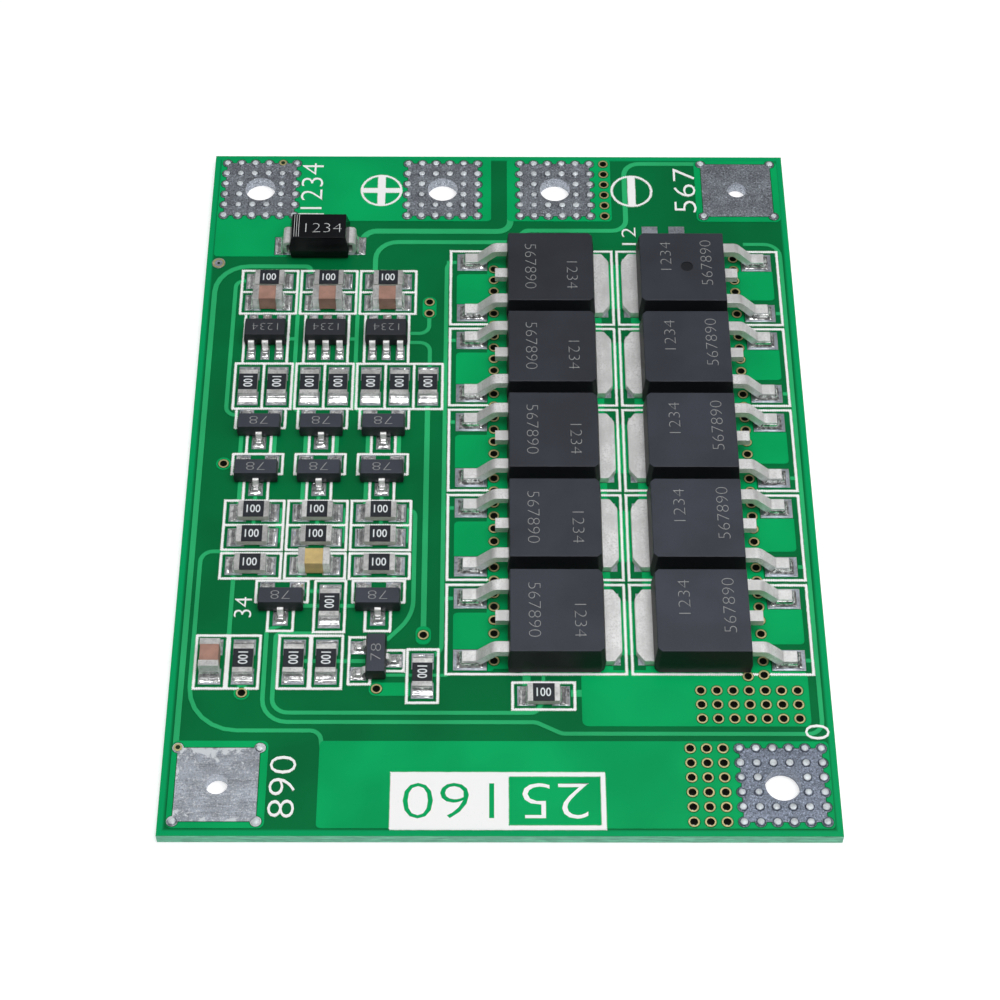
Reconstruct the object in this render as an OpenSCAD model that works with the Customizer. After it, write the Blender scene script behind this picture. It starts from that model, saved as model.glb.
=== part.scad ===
// Battery management board: a bare circuit board that guards three cells in series.
// Ten power transistors in two columns switch the pack current, three supervisor
// chips watch the cells, and six large tinned pads take the wires.
// The origin is the middle of the underside. X runs across, Y along, Z up.

/* [Board] */
// Thickness of the laminate with its solder mask
board_t = 0.8; // [0.6:0.1:1.6]
// Height of bare tinned copper above the laminate
land_t = 0.05; // [0.04:0.01:0.08]
// Height of mask-covered copper above the laminate
track_t = 0.035; // [0.02:0.005:0.04]
// Height of the white print above what it covers
print_t = 0.02; // [0.01:0.005:0.04]
// Width of a printed line
print_w = 0.11; // [0.08:0.01:0.2]
// Clear gap between mask-covered copper or print and a bare land
mask_gap = 0.05; // [0.03:0.01:0.08]
// Distance from the board's edge to the copper fields
copper_inset = 0.45; // [0.3:0.05:0.6]

/* [Terminal pads] */
// Side of a square terminal pad
pad_w = 5; // [4.5:0.1:5.5]
// Number of vias along one side of a current-carrying pad
pad_via_n = 6; // [4:1:6]
// Radius of the wire hole in a current-carrying pad
wire_hole_r = 1.08; // [0.7:0.02:1.3]
// Radius of the wire hole in a sense pad
sense_hole_r = 0.68; // [0.4:0.02:1.2]
// Distance from a side edge of the board to the nearest terminal pad
pad_side_inset = 0.9; // [0.8:0.05:1.5]
// Distance from the top edge of the board to the upper terminal pads
pad_top_inset = 0.75; // [0.7:0.05:1.5]
// Distance from the lower edge of the board to the lower terminal pads
pad_low_inset = 0.95; // [0.7:0.05:1.5]
// Gap between the two pack pads in the middle of the top edge
pole_gap = 3.06; // [3:0.05:4]
// Width of the copper field round a terminal pad
pad_field = 0.5; // [0.42:0.02:0.6]

/* [Vias] */
// Radius of the open hole in a plated via
via_bore_r = 0.24; // [0.15:0.01:0.25]
// Wall of the copper plating in a hole
plating_t = 0.05; // [0.03:0.01:0.08]
// Radius of the collar round a via
via_collar_r = 0.34; // [0.34:0.01:0.4]
// Distance between the vias of one group
via_pitch = 1; // [0.9:0.05:1.1]
// Height of the solder bump on a filled via
bump_h = 0.07; // [0.03:0.01:0.12]

/* [Power transistors] */
// Number of power transistors in one column
fet_rows = 5; // [2:1:5]
// Length of the moulded body, from tab to leads
fet_body_l = 6.1; // [5.7:0.05:6.3]
// Width of the moulded body
fet_body_w = 6.5; // [6.2:0.05:6.8]
// Height of the moulded body
fet_body_h = 2.3; // [2:0.05:2.6]
// Height of the widest line of the body
fet_part_z = 0.9; // [0.7:0.05:1]
// How far the body's top edge leans in at the two long sides
fet_lean = 0.22; // [0.1:0.01:0.4]
// How far it leans in at the tab and at the leads
fet_end_lean = 0.14; // [0.1:0.01:0.3]
// Cut of the body's two corners beside the tab
fet_corner_cut = 0.26; // [0.1:0.01:0.4]
// How far the metal tab stands out of the body
fet_tab_out = 1.05; // [0.9:0.01:1.3]
// Width of the metal tab
fet_tab_w = 5.3; // [4.9:0.05:5.5]
// Thickness of the metal tab and the leads
fet_metal_t = 0.5; // [0.45:0.01:0.6]
// Length of the cut at the outer corners of the tab, along the tab's end
fet_tab_cut_w = 0.7; // [0.3:0.05:0.9]
// Length of the same cut, along the tab's side
fet_tab_cut_l = 0.48; // [0.3:0.02:0.6]
// Distance between the two outer leads, middle to middle
fet_lead_span = 4.57; // [4.4:0.01:4.7]
// Width of a lead
fet_lead_w = 0.78; // [0.65:0.01:0.9]
// How far the outer leads reach beyond the body
fet_lead_out = 2.85; // [2.7:0.01:3.2]
// Length of the flat stretch of an outer lead beside the body
fet_lead_flat = 0.78; // [0.5:0.02:0.9]
// Length of the flat foot of an outer lead
fet_foot = 0.98; // [0.8:0.02:1.1]
// Height of a lead's middle line where it leaves the body
fet_lead_z = 1.36; // [1.3:0.01:1.5]
// How far the cut-off middle lead reaches beyond the body
fet_stub = 0.78; // [0.6:0.02:1]
// How far a lead's land reaches beyond the foot
fet_land_out = 0.56; // [0.4:0.02:0.7]
// Width of a lead's land
fet_land_w = 1.5; // [1.2:0.05:1.7]
// Gap between neighbouring transistor cells in a column
fet_row_gap = 0.38; // [0.35:0.01:0.6]
// Room between a body's side and the edge of its printed cell
fet_side_room = 0.06; // [0.04:0.01:0.2]
// Gap between the two columns of transistor cells
fet_col_gap = 0.37; // [0.35:0.01:0.6]

/* [Chips] */
// Length of a chip resistor or capacitor
chip_l = 2; // [1.9:0.05:2.2]
// Width of a chip resistor or capacitor
chip_w = 1.25; // [1.1:0.05:1.35]
// Height of a chip resistor
res_h = 0.5; // [0.4:0.05:0.65]
// Height of a chip capacitor
cap_h = 1.2; // [0.8:0.05:1.4]
// Length of a resistor's metal end on its top face
res_end = 0.33; // [0.25:0.01:0.45]
// Length of a capacitor's metal end
cap_end = 0.42; // [0.3:0.01:0.5]
// Thickness of a chip's metal ends and of a resistor's glaze
end_t = 0.04; // [0.03:0.01:0.06]
// How far a chip's land reaches beyond its end
chip_land_out = 0.63; // [0.5:0.01:0.7]
// How far a chip's land reaches under it
chip_land_in = 0.5; // [0.4:0.01:0.6]
// How much wider a land is than its chip, on each side
chip_land_side = 0.07; // [0.05:0.01:0.1]
// Room between a chip's land and its printed cell, beyond the ends
chip_room_l = 0.295; // [0.25:0.005:0.4]
// Room between a chip's land and its printed cell, at the sides
chip_room_w = 0.27; // [0.25:0.005:0.4]

/* [Small transistors] */
// Length of a small transistor's body
sot_l = 2.9; // [2.8:0.02:3]
// Width of a small transistor's body
sot_w = 1.3; // [1.2:0.02:1.4]
// Height of a small transistor
sot_h = 1.05; // [0.95:0.01:1.1]
// Distance over the toes of its leads
sot_span = 2.4; // [2.3:0.02:2.6]
// Distance between neighbouring lead positions
sot_pitch = 0.95; // [0.93:0.01:0.97]
// Width of a lead
sot_lead_w = 0.4; // [0.3:0.01:0.46]
// Thickness of a lead
sot_lead_t = 0.13; // [0.1:0.01:0.16]
// Length of the flat foot of a lead
sot_foot = 0.3; // [0.24:0.02:0.4]
// How far a land reaches beyond the toe
sot_land_out = 0.43; // [0.35:0.01:0.5]
// Length of a land
sot_land_l = 1.05; // [0.9:0.01:1.1]
// Width of a land
sot_land_w = 0.95; // [0.8:0.01:1]
// Room between the rear lands and the printed cell
sot_rear_room = 0.1; // [0.08:0.01:0.15]
// Room between the front land and the next cell
sot_front_room = 0.41; // [0.38:0.01:0.5]

/* [Supervisor chips] */
// Length of a supervisor chip's body
ic_l = 2.9; // [2.8:0.02:3]
// Width of a supervisor chip's body
ic_w = 1.6; // [1.5:0.02:1.7]
// Height of a supervisor chip
ic_h = 1.15; // [1:0.01:1.2]
// Distance over the toes of its leads
ic_span = 2.8; // [2.7:0.02:3]
// Distance between neighbouring leads
ic_pitch = 0.95; // [0.9:0.01:0.97]
// How far a land reaches beyond the toe
ic_land_out = 0.58; // [0.4:0.01:0.6]
// Room between the rear lands and the printed cell
ic_rear_room = 0.09; // [0.09:0.01:0.15]
// Room between the front lands and the next cell
ic_front_room = 0.34; // [0.3:0.01:0.5]

/* [Diode] */
// Length of the diode's body
dio_l = 4.2; // [4:0.05:4.4]
// Width of the diode's body
dio_w = 2.6; // [2.4:0.05:2.7]
// Height of the diode
dio_h = 2.15; // [1.9:0.05:2.4]
// Distance over the diode's leads
dio_span = 5.1; // [4.9:0.05:5.3]
// Width of a lead
dio_lead_w = 1.45; // [1.2:0.05:1.6]
// Thickness of a lead
dio_lead_t = 0.25; // [0.2:0.01:0.3]
// Distance over the diode's lands
dio_land_span = 6.4; // [6.2:0.05:6.5]

/* [Layout] */
// Width of the track lane left of the small parts
left_lane = 2.61; // [2.6:0.01:3.5]
// Gap between the columns of small parts
col_gap = 0.27; // [0.25:0.01:0.4]
// Gap between the small parts and the transistor cells
block_gap = 0.48; // [0.46:0.02:0.8]
// Width of the track lane right of the transistor cells
right_lane = 0.95; // [0.9:0.05:1.5]
// Height of the track lane between the upper pads and the cells
top_lane = 3.34; // [3.3:0.02:4]
// How much lower the small parts start than the transistor cells
small_drop = 1.84; // [1.8:0.02:2.2]
// Gap between the last two rows of flat chips
row_gap = 0.27; // [0.25:0.01:0.4]
// Gap above the last row of small transistors
low_row_gap = 0.17; // [0.1:0.01:0.3]
// Gap above the lowest row of chips
last_row_gap = 0.35; // [0.3:0.01:0.5]
// Height of the lane between the transistor cells and the lower pads
low_lane = 5.24; // [5.2:0.02:6]
// Height of the lane between the small parts and the lower pads
small_lane = 4.1; // [4:0.02:5]
// Height of the collecting copper field under the transistor cells
bus_h = 3.7; // [3.65:0.01:3.75]
// How much lower the pull-down resistor beside the transistors sits
low_chip_drop = 1; // [0.9:0.02:1.1]
// How far the lowest left pair of chips stands out to the left
low_pair_shift = 1.1; // [1:0.02:1.12]
// Distance from the transistor cells' left side to the gate resistor
gate_res_inset = 4.15; // [4:0.05:6]
// Width of a signal track
track_w = 0.28; // [0.2:0.01:0.3]
// Width of a sense track
sense_w = 0.36; // [0.3:0.01:0.4]
// Width of the track from the diode
diode_track_w = 0.46; // [0.4:0.01:0.5]

/* [Hidden] */
FETS = 2 * fet_rows;
SUPERVISORS = 3;
SMALL_TRANSISTORS = 9;
PAD_NAMES = ["battery_plus_pad", "pack_plus_pad", "pack_minus_pad",
    "cell_one_pad", "cell_two_pad", "battery_minus_pad"];

$fn = 48;
arc_steps = 6;
tiny = 0.01;

// Colours of the real object
mask_colour = [0.0, 0.42, 0.22];
copper_colour = [0.04, 0.62, 0.34];
track_colour = [0.2, 0.68, 0.42];
tin_colour = [0.62, 0.63, 0.66];
via_colour = [0.68, 0.6, 0.33];
print_colour = [0.93, 0.97, 0.95];
mould_colour = [0.2, 0.21, 0.25];
lead_colour = [0.8, 0.79, 0.77];
ceramic_colour = [0.8, 0.8, 0.76];
glaze_colour = [0.15, 0.16, 0.21];
brown_colour = [0.6, 0.42, 0.35];
tan_colour = [0.75, 0.63, 0.38];
solder_colour = [0.75, 0.76, 0.78];

// Sizes of the printed cells
chip_land_w = chip_w + 2 * chip_land_side;
chip_cell_l = chip_l + 2 * (chip_land_out + chip_room_l);
chip_cell_w = chip_land_w + 2 * chip_room_w;
sot_box_side = 0.28;
sot_box_w = sot_l + 2 * sot_box_side;
sot_cell_h = sot_span + 2 * sot_land_out + sot_rear_room + sot_front_room;
ic_cell_h = ic_span + 2 * ic_land_out + ic_rear_room + ic_front_room;
fet_l = fet_tab_out + fet_body_l + fet_lead_out;
fet_tip_room = 0.45;
fet_tab_room = 0.26;
fet_cell_l = fet_tip_room + fet_land_out + fet_l + fet_tab_room;
fet_cell_w = fet_body_w + 2 * fet_side_room;
fet_pitch = fet_cell_w + fet_row_gap;
col_w = max(chip_cell_l, 2 * chip_cell_w, sot_box_w);

// Heights of the stacked faces
top_z = board_t;
land_z = board_t + land_t;

// Across: lane, small parts, gap, two columns of power transistors, lane
small_w = 3 * col_w + 2 * col_gap + chip_cell_w;
board_w = left_lane + small_w + block_gap + 2 * fet_cell_l + fet_col_gap + right_lane;
left = -board_w / 2;
right = board_w / 2;
small_x = left + left_lane;
cell7_x = small_x + 3 * (col_w + col_gap) - col_gap;
fet_x = cell7_x + chip_cell_w + block_gap;
axis_x = fet_x + fet_cell_l + fet_col_gap / 2;
fet_right = right - right_lane;

function col_x(i) = small_x + col_w / 2 + i * (col_w + col_gap);

// Along: heights of the rows of small parts, measured down from their top line
row_b = chip_cell_w;
row_ic = 2 * chip_cell_w;
row_c = row_ic + ic_cell_h;
row_d = row_c + chip_cell_l;
row_e = row_d + sot_cell_h;
row_f = row_e + sot_cell_h;
row_f2 = row_f + chip_cell_w;
row_f3 = row_f2 + chip_cell_w + row_gap;
row_g = row_f3 + chip_cell_w + low_row_gap;
row_h = row_g + sot_cell_h + last_row_gap;
small_h = row_h + chip_cell_l;

// Along: the board is as long as the taller of its two stacks
fet_stack = fet_rows * fet_pitch - fet_row_gap;
stack_h = max(fet_stack + low_lane, small_drop + small_h + small_lane);
board_l = pad_top_inset + pad_w + top_lane + stack_h + pad_w + pad_low_inset;
top = board_l / 2;
low = -board_l / 2;
pads_top_y = top - pad_top_inset - pad_w / 2;
pads_low_y = low + pad_low_inset + pad_w / 2;
fet_top = top - pad_top_inset - pad_w - top_lane;
fet_low = fet_top - fet_stack;
small_top = fet_top - small_drop;
small_low = small_top - small_h;

function row_y(depth) = small_top - depth;
function fet_y(i) = fet_top - fet_cell_w / 2 - i * fet_pitch;

// Middles of the terminal pads, in the order of PAD_NAMES
pad_left_x = left + pad_side_inset + pad_w / 2;
pad_right_x = right - pad_side_inset - pad_w / 2;
pole_x = (pad_w + pole_gap) / 2;
pads = [
    [pad_left_x, pads_top_y, wire_hole_r, pad_via_n],
    [-pole_x, pads_top_y, wire_hole_r, pad_via_n],
    [pole_x, pads_top_y, wire_hole_r, pad_via_n],
    [pad_right_x, pads_top_y, sense_hole_r, 2],
    [pad_left_x, pads_low_y, sense_hole_r, 2],
    [pad_right_x, pads_low_y, wire_hole_r, pad_via_n]
];

// Middles of the flat and the upright chips; the last value picks the kind
RESISTOR = 0;
BROWN_CAPACITOR = 1;
TAN_CAPACITOR = 2;
low_pair_gap = 0.12;
chip_pair_gap = 0.1;
gate_res_drop = 0.6;
y_ra = row_y(0) - chip_cell_w / 2;
y_rb = row_y(row_b) - chip_cell_w / 2;
y_rc = row_y(row_c) - chip_cell_l / 2;
y_f1 = row_y(row_f) - chip_cell_w / 2;
y_f2 = row_y(row_f2) - chip_cell_w / 2;
y_f3 = row_y(row_f3) - chip_cell_w / 2;
y_rg = row_y(row_g) - chip_cell_l / 2;
y_rh = row_y(row_h) - chip_cell_l / 2;
x_rg = col_x(1) + chip_cell_w / 2 + chip_pair_gap;
gate_res_x = fet_x + gate_res_inset + chip_cell_l / 2;
gate_res_y = fet_low - gate_res_drop - chip_cell_w / 2;
low_pair_x = small_x - low_pair_shift + chip_cell_w / 2;
pull_down_x = cell7_x + chip_cell_w / 2;
pull_down_y = y_rh - low_chip_drop;
flat_chips = concat(
    [for (i = [0:2]) [col_x(i), y_ra, RESISTOR]],
    [for (i = [0:2]) [col_x(i), y_rb, BROWN_CAPACITOR]],
    [for (i = [0:2], y = [y_f1, y_f2]) [col_x(i), y, RESISTOR]],
    [for (i = [0:2]) [col_x(i), y_f3, i == 1 ? TAN_CAPACITOR : RESISTOR]],
    [[gate_res_x, gate_res_y, RESISTOR]]
);
upright_chips = concat(
    [for (i = [0:2], s = [-1, 1]) [col_x(i) + s * chip_cell_w / 2, y_rc, RESISTOR]],
    [[pull_down_x, y_rc, RESISTOR]],
    [[x_rg, y_rg, RESISTOR]],
    [[low_pair_x, y_rh, BROWN_CAPACITOR]],
    [[low_pair_x + chip_cell_w + low_pair_gap, y_rh, RESISTOR]],
    [for (s = [-1, 1]) [col_x(1) + s * (chip_cell_w + chip_pair_gap) / 2, y_rh, RESISTOR]],
    [[pull_down_x, pull_down_y, RESISTOR]]
);

// Middles of the small transistors; the last value is the turn in degrees
sot_to_top = sot_rear_room + sot_land_out + sot_span / 2;
y_sd = row_y(row_d) - sot_to_top;
y_se = row_y(row_e) - sot_to_top;
y_sg = row_y(row_g) - sot_to_top;
low_sot_shift = 0.28;
turned_sot_rise = 0.1;
x_sg = col_x(1) - low_sot_shift - sot_box_w / 2;
turned_sot_y = y_rh + turned_sot_rise;
sots = concat(
    [for (y = [y_sd, y_se], i = [0:2]) [col_x(i), y, 0]],
    [[x_sg, y_sg, 0], [col_x(2), y_sg, 0], [col_x(2), turned_sot_y, 90]]
);

// Middles of the supervisor chips and of the diode
ic_y = row_y(row_ic) - ic_rear_room - ic_land_out - ic_span / 2;
ics = [for (i = [0:2]) [col_x(i), ic_y]];
dio_shift = 0.75;
dio_rise = 2.3;
dio_x = col_x(1) - dio_shift;
dio_y = small_top + dio_rise;
dio_land_l = 1.9;
dio_land_side = 0.075;
dio_land_w = dio_lead_w + 2 * dio_land_side;

// Where the tab ends and which way the leads point, for each power transistor
function fet_side(i) = i < fet_rows ? -1 : 1;
function fet_row(i) = i < fet_rows ? i : i - fet_rows;
fet_tab_x = fet_col_gap / 2 + fet_tab_room;

// A rounded corner at b between a and c
function unit(v) = v / norm(v);
function flat(p) = [p.x, p.y];
function corner(a, b, c, r) =
    let (u = unit(a - b), w = unit(c - b), half = acos(max(-1, min(1, u * w))) / 2)
    r <= 0 || half > 89.9 ? [b] :
    let (
        reach = min(r / tan(half), 0.49 * norm(a - b), 0.49 * norm(c - b)),
        rr = reach * tan(half),
        mid = b + unit(u + w) * rr / sin(half),
        from = atan2((b + u * reach - mid).y, (b + u * reach - mid).x),
        to = atan2((b + w * reach - mid).y, (b + w * reach - mid).x),
        turn = to - from > 180 ? to - from - 360 : to - from < -180 ? to - from + 360 : to - from
    )
    [for (k = [0:arc_steps])
        let (a = from + turn * k / arc_steps)
        mid + rr * [cos(a), sin(a)]];

// An open path of [x, y, corner radius] with its corners rounded
function smooth_path(p) = [for (i = [0:len(p) - 1])
    each (i == 0 || i == len(p) - 1) ? [flat(p[i])] :
        corner(flat(p[i - 1]), flat(p[i]), flat(p[i + 1]), p[i][2])];

// A closed outline of [x, y, corner radius] with its corners rounded
function smooth_outline(p) = [for (i = [0:len(p) - 1])
    each corner(flat(p[(i + len(p) - 1) % len(p)]), flat(p[i]), flat(p[(i + 1) % len(p)]), p[i][2])];

function side_step(q, i) =
    let (d = unit(q[min(i + 1, len(q) - 1)] - q[max(i - 1, 0)]))
    [-d.y, d.x];

// The outline of a strip of width w that follows an open path
function strip_outline(w, p) =
    let (q = smooth_path(p), n = len(q) - 1)
    concat(
        [for (i = [0:n]) q[i] + side_step(q, i) * w / 2],
        [for (i = [n:-1:0]) q[i] - side_step(q, i) * w / 2]
    );

function box_outline(x0, y0, x1, y1, r = 0) = smooth_outline(
    [[x0, y0, r], [x1, y0, r], [x1, y1, r], [x0, y1, r]]);

module strip(w, p) {
    polygon(strip_outline(w, p));
}

module field(x0, y0, x1, y1, r = 0) {
    polygon(box_outline(min(x0, x1), min(y0, y1), max(x0, x1), max(y0, y1), r));
}

module flat_box(x, y, l, w) {
    translate([x - l / 2, y - w / 2])
        square([l, w]);
}

// A body that leans in from its widest line to its top and to its bottom
function lean_profile(w, z0, part, z1, low_lean, top_lean) = [
    [-w / 2 + low_lean, z0], [w / 2 - low_lean, z0], [w / 2, part],
    [w / 2 - top_lean, z1], [-w / 2 + top_lean, z1], [-w / 2, part]
];

module along_x(l) {
    translate([-l / 2, 0, 0])
        rotate([90, 0, 90])
            linear_extrude(l)
                children();
}

module along_y(l) {
    translate([0, l / 2, 0])
        rotate([90, 0, 0])
            linear_extrude(l)
                children();
}

module moulded_block(l, w, z0, part, z1, low_lean, side_lean, end_lean) {
    intersection() {
        along_x(l + 1)
            polygon(lean_profile(w, z0, part, z1, low_lean, side_lean));
        along_y(w + 1)
            polygon(lean_profile(l, z0, part, z1, low_lean, end_lean));
    }
}

// Solder that climbs in hollow curves from its land to a smaller top
function hollow_flank(w0, w1, h, side) = [for (k = [0:arc_steps])
    let (t = 90 * k / arc_steps, run = (w0 - w1) / 2)
    [side * (w1 / 2 + run * (1 - sin(t))), h * (1 - cos(t))]];

function mound_profile(w0, w1, h) =
    let (l = hollow_flank(w0, w1, h, -1), r = hollow_flank(w0, w1, h, 1))
    concat([for (k = [arc_steps:-1:0]) l[k]], r);

module mound(l0, w0, l1, w1, h) {
    intersection() {
        along_x(l0)
            polygon(mound_profile(w0, w1, h));
        along_y(w0)
            polygon(mound_profile(l0, l1, h));
    }
}

// Vias in the middle of a pad leave room for the wire hole
function pad_vias(p) =
    let (n = p[3], step = pad_w / (n - 1))
    [for (i = [0:n - 1], j = [0:n - 1])
        let (d = [i * step - pad_w / 2, j * step - pad_w / 2])
        if (norm(d) > p[2] + via_collar_r) d];

function on_rim(d) = max(abs(d.x), abs(d.y)) > pad_w / 2 - via_collar_r;

// Open vias: columns beside the pads, strips under the leads, the field and single ones
pole_via_gap = 1.02;
strip_end_step = 0.1;
strip_margin = 0.6;
left_strip_inset = 3;
right_strip_inset = 3.1;
strip_via_drop = 0.65;
bus_overlap = 0.3;
bus_reach = 3.03;
bus_side = 0.4;
bus_via_drop = 1.15;
strip_via_n = floor((fet_stack - 2 * strip_margin) / via_pitch) + 1;
left_strip_x = fet_x + left_strip_inset;
right_strip_x = fet_right - right_strip_inset;
strip_via_y = fet_top - strip_via_drop;
bus_top = fet_low + bus_overlap;
bus_low = fet_low - bus_h;
bus_left = axis_x - bus_reach;
bus_right = fet_right - bus_side;
low_field_top = pads_low_y + pad_w / 2 + pad_field;
bus_via_x = right_strip_x + 2 * via_pitch;
bus_via_y = fet_low - bus_via_drop;
test_via_x = pull_down_x;
links = [
    [test_via_x, row_y(2.8)], [test_via_x, row_y(3.8)],
    [left + 2.3, y_se + 0.95],
    [test_via_x, y_rh + 2.0],
    [low_pair_x + chip_cell_w + low_pair_gap, small_low - 0.3],
    [col_x(2) + 0.06, small_low]
];
open_vias = concat(
    [for (k = [0:5]) [pole_x + pad_w / 2 + pole_via_gap, pads_top_y + pad_w / 2 - k * pad_w / 5]],
    [for (k = [1:strip_via_n - 1]) [left_strip_x, strip_via_y - k * via_pitch]],
    [for (k = [0:strip_via_n]) [right_strip_x, strip_via_y - k * via_pitch]],
    [[right_strip_x - via_pitch, strip_via_y - strip_via_n * via_pitch - strip_end_step]],
    [for (i = [0:6], j = [0:2]) [bus_via_x - i * via_pitch, bus_via_y - j * via_pitch]],
    [for (i = [1:3], j = [0:5])
        [pad_right_x - pad_w / 2 - i * via_pitch, pads_low_y - pad_w / 2 + j * pad_w / 5]],
    links
);

// Bare lands: [x, y, length, width]
function chip_lands(c, upright) = [for (s = [-1, 1])
    let (
        l = chip_land_out + chip_land_in,
        d = s * (chip_l / 2 + (chip_land_out - chip_land_in) / 2)
    )
    upright ? [c.x, c.y + d, chip_land_w, l] : [c.x + d, c.y, l, chip_land_w]];

sot_legs = [[-sot_pitch, 1], [sot_pitch, 1], [0, -1]];
sot_land_d = sot_span / 2 + sot_land_out - sot_land_l / 2;
function sot_lands(c) = [for (g = sot_legs) c[2] == 0 ?
    [c.x + g.x, c.y + g.y * sot_land_d, sot_land_w, sot_land_l] :
    [c.x - g.y * sot_land_d, c.y + g.x, sot_land_l, sot_land_w]];

ic_land_l = 1.2;
ic_land_w = 0.6;
ic_lead_w = 0.42;
ic_foot = sot_foot + 0.02;
ic_legs = [for (k = [-1:1], s = [-1, 1]) [k * ic_pitch, s]];
ic_land_d = ic_span / 2 + ic_land_out - ic_land_l / 2;
function ic_lands(c) = [for (g = ic_legs)
    [c.x + g.x, c.y + g.y * ic_land_d, ic_land_w, ic_land_l]];

fet_land_l = 2.1;
fet_tab_land_l = 5.4;
fet_tab_land_inset = 0.1;
function fet_lead_lands(i) =
    let (x = axis_x + fet_side(i) * (fet_tab_x + fet_l + fet_land_out - fet_land_l / 2))
    [for (s = [-1, 1]) [x, fet_y(fet_row(i)) + s * fet_lead_span / 2, fet_land_l, fet_land_w]];
function fet_tab_land(i) =
    let (x = axis_x + fet_side(i) * (fet_tab_x + fet_tab_land_inset + fet_tab_land_l / 2))
    [x, fet_y(fet_row(i)), fet_tab_land_l, fet_tab_w];

spare_land_y = fet_top + 1.6;
spare_lands = [for (x = [2.6, 4.5]) [axis_x + x, spare_land_y, 1.12, 1.5]];
test_land = [left + 0.85, row_y(-0.7)];
test_land_r = 0.46;
dio_lands = [for (s = [-1, 1])
    [dio_x + s * (dio_land_span - dio_land_l) / 2, dio_y, dio_land_l, dio_land_w]];

lands = concat(
    [for (c = flat_chips) each chip_lands(c, false)],
    [for (c = upright_chips) each chip_lands(c, true)],
    [for (c = sots) each sot_lands(c)],
    [for (c = ics) each ic_lands(c)],
    [for (i = [0:FETS - 1]) each fet_lead_lands(i)],
    [for (i = [0:FETS - 1]) fet_tab_land(i)],
    dio_lands,
    spare_lands
);

// Everything bare, grown by a gap, as one flat shape
module bare_shape(grow) {
    for (l = lands)
        flat_box(l.x, l.y, l[2] + 2 * grow, l[3] + 2 * grow);
    for (v = open_vias)
        translate(v)
            circle(via_collar_r + grow);
    for (p = pads)
        translate([p.x, p.y])
            pad_shape(p, grow);
    translate(test_land)
        circle(test_land_r + grow);
}

module pad_shape(p, grow) {
    flat_box(0, 0, pad_w + 2 * grow, pad_w + 2 * grow);
    for (d = pad_vias(p))
        if (on_rim(d))
            translate(d)
                circle(via_collar_r + grow);
}

// Copper fields under the mask
drain_near = 1.02;
drain_far = 6.4;
sign_side = 0.98;
pole_side = 0.95;
pole_via_side = 1.52;
plus_field_rise = 1.33;
main_field_gap = 3.6;
field_r = 0.3;
wide_field_r = 0.4;
link_r = 0.48;
link_end = 0.46;
link_long_end = 0.7;

// The field on which a square pad stands: [left, low, right, top] distances beyond the pad
module pad_ground(x, y, out) {
    half = pad_w / 2;
    field(x - half - out[0], y - half - out[1], x + half + out[2], y + half + out[3], wide_field_r);
}

// The plus field reaches round the upper left pads and down to the small parts
module plus_field() {
    field_top = top - copper_inset + 0.15;
    field_left = left + copper_inset;
    field_right = -pole_x + pad_w / 2 + sign_side;
    field_low = pads_top_y - pad_w / 2 - pad_field;
    foot = small_top + plus_field_rise;
    step_x = dio_x - dio_span / 2 + dio_lead_t;
    polygon(smooth_outline([
        [field_left, field_top, 0],
        [field_right, field_top, 0],
        [field_right, field_low, field_r],
        [step_x + 0.7, field_low, 0],
        [step_x, field_low - 0.8, 0],
        [step_x, foot, 0],
        [field_left, foot, field_r]
    ]));
    field(pole_x - pad_w / 2 - pole_side, field_low,
        pole_x + pad_w / 2 + pole_via_side, field_top, field_r);
}

// Fields between the rows of vias and the transistors' lands
module transistor_fields() {
    for (s = [-1, 1])
        field(axis_x + s * drain_far, bus_top - 0.2, axis_x + s * drain_near, fet_top - 0.12);
    field(left_strip_x - 0.46, fet_low + 0.4, left_strip_x + 1.5, fet_top - 0.3);
    field(right_strip_x - 0.95, bus_low + 1, right_strip_x + 0.46, fet_top);
    for (k = [0:fet_rows - 1]) {
        y = fet_y(k);
        field(fet_x + 0.42, y - 3.1, left_strip_x, y + 1.22, field_r);
        field(right_strip_x, y - 1.1, bus_right, y + 3.05, field_r);
        field(axis_x - drain_near - 0.1, y - 1.9, axis_x + drain_near + 0.1, y + 2.1);
    }
}

module copper_fields() {
    plus_field();
    transistor_fields();
    pad_ground(pad_right_x, pads_top_y, pad_field * [1, 1, 1, 0.7]);
    pad_ground(pad_left_x, pads_low_y, pad_field * [0.75, 0.9, 1, 1]);
    field(pad_left_x + pad_w / 2 + main_field_gap, pads_low_y - pad_w / 2 - pad_field * 0.9,
        pad_right_x + pad_w / 2 + pad_field * 0.9, low_field_top, field_r);
    field(bus_left, bus_low, bus_right, bus_top, wide_field_r);
    field(links[0].x - link_r, links[1].y - link_end, links[0].x + link_r, links[0].y + link_end, 0.45);
    field(links[3].x - link_r, links[3].y - link_long_end,
        links[3].x + link_r, links[3].y + 0.65, 0.45);
    field(links[5].x - link_r, links[5].y - 0.5, pull_down_x, links[5].y + 0.45, 0.45);
    for (v = [links[2], links[4]])
        translate(v)
            circle(link_r + 0.01);
}

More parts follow.
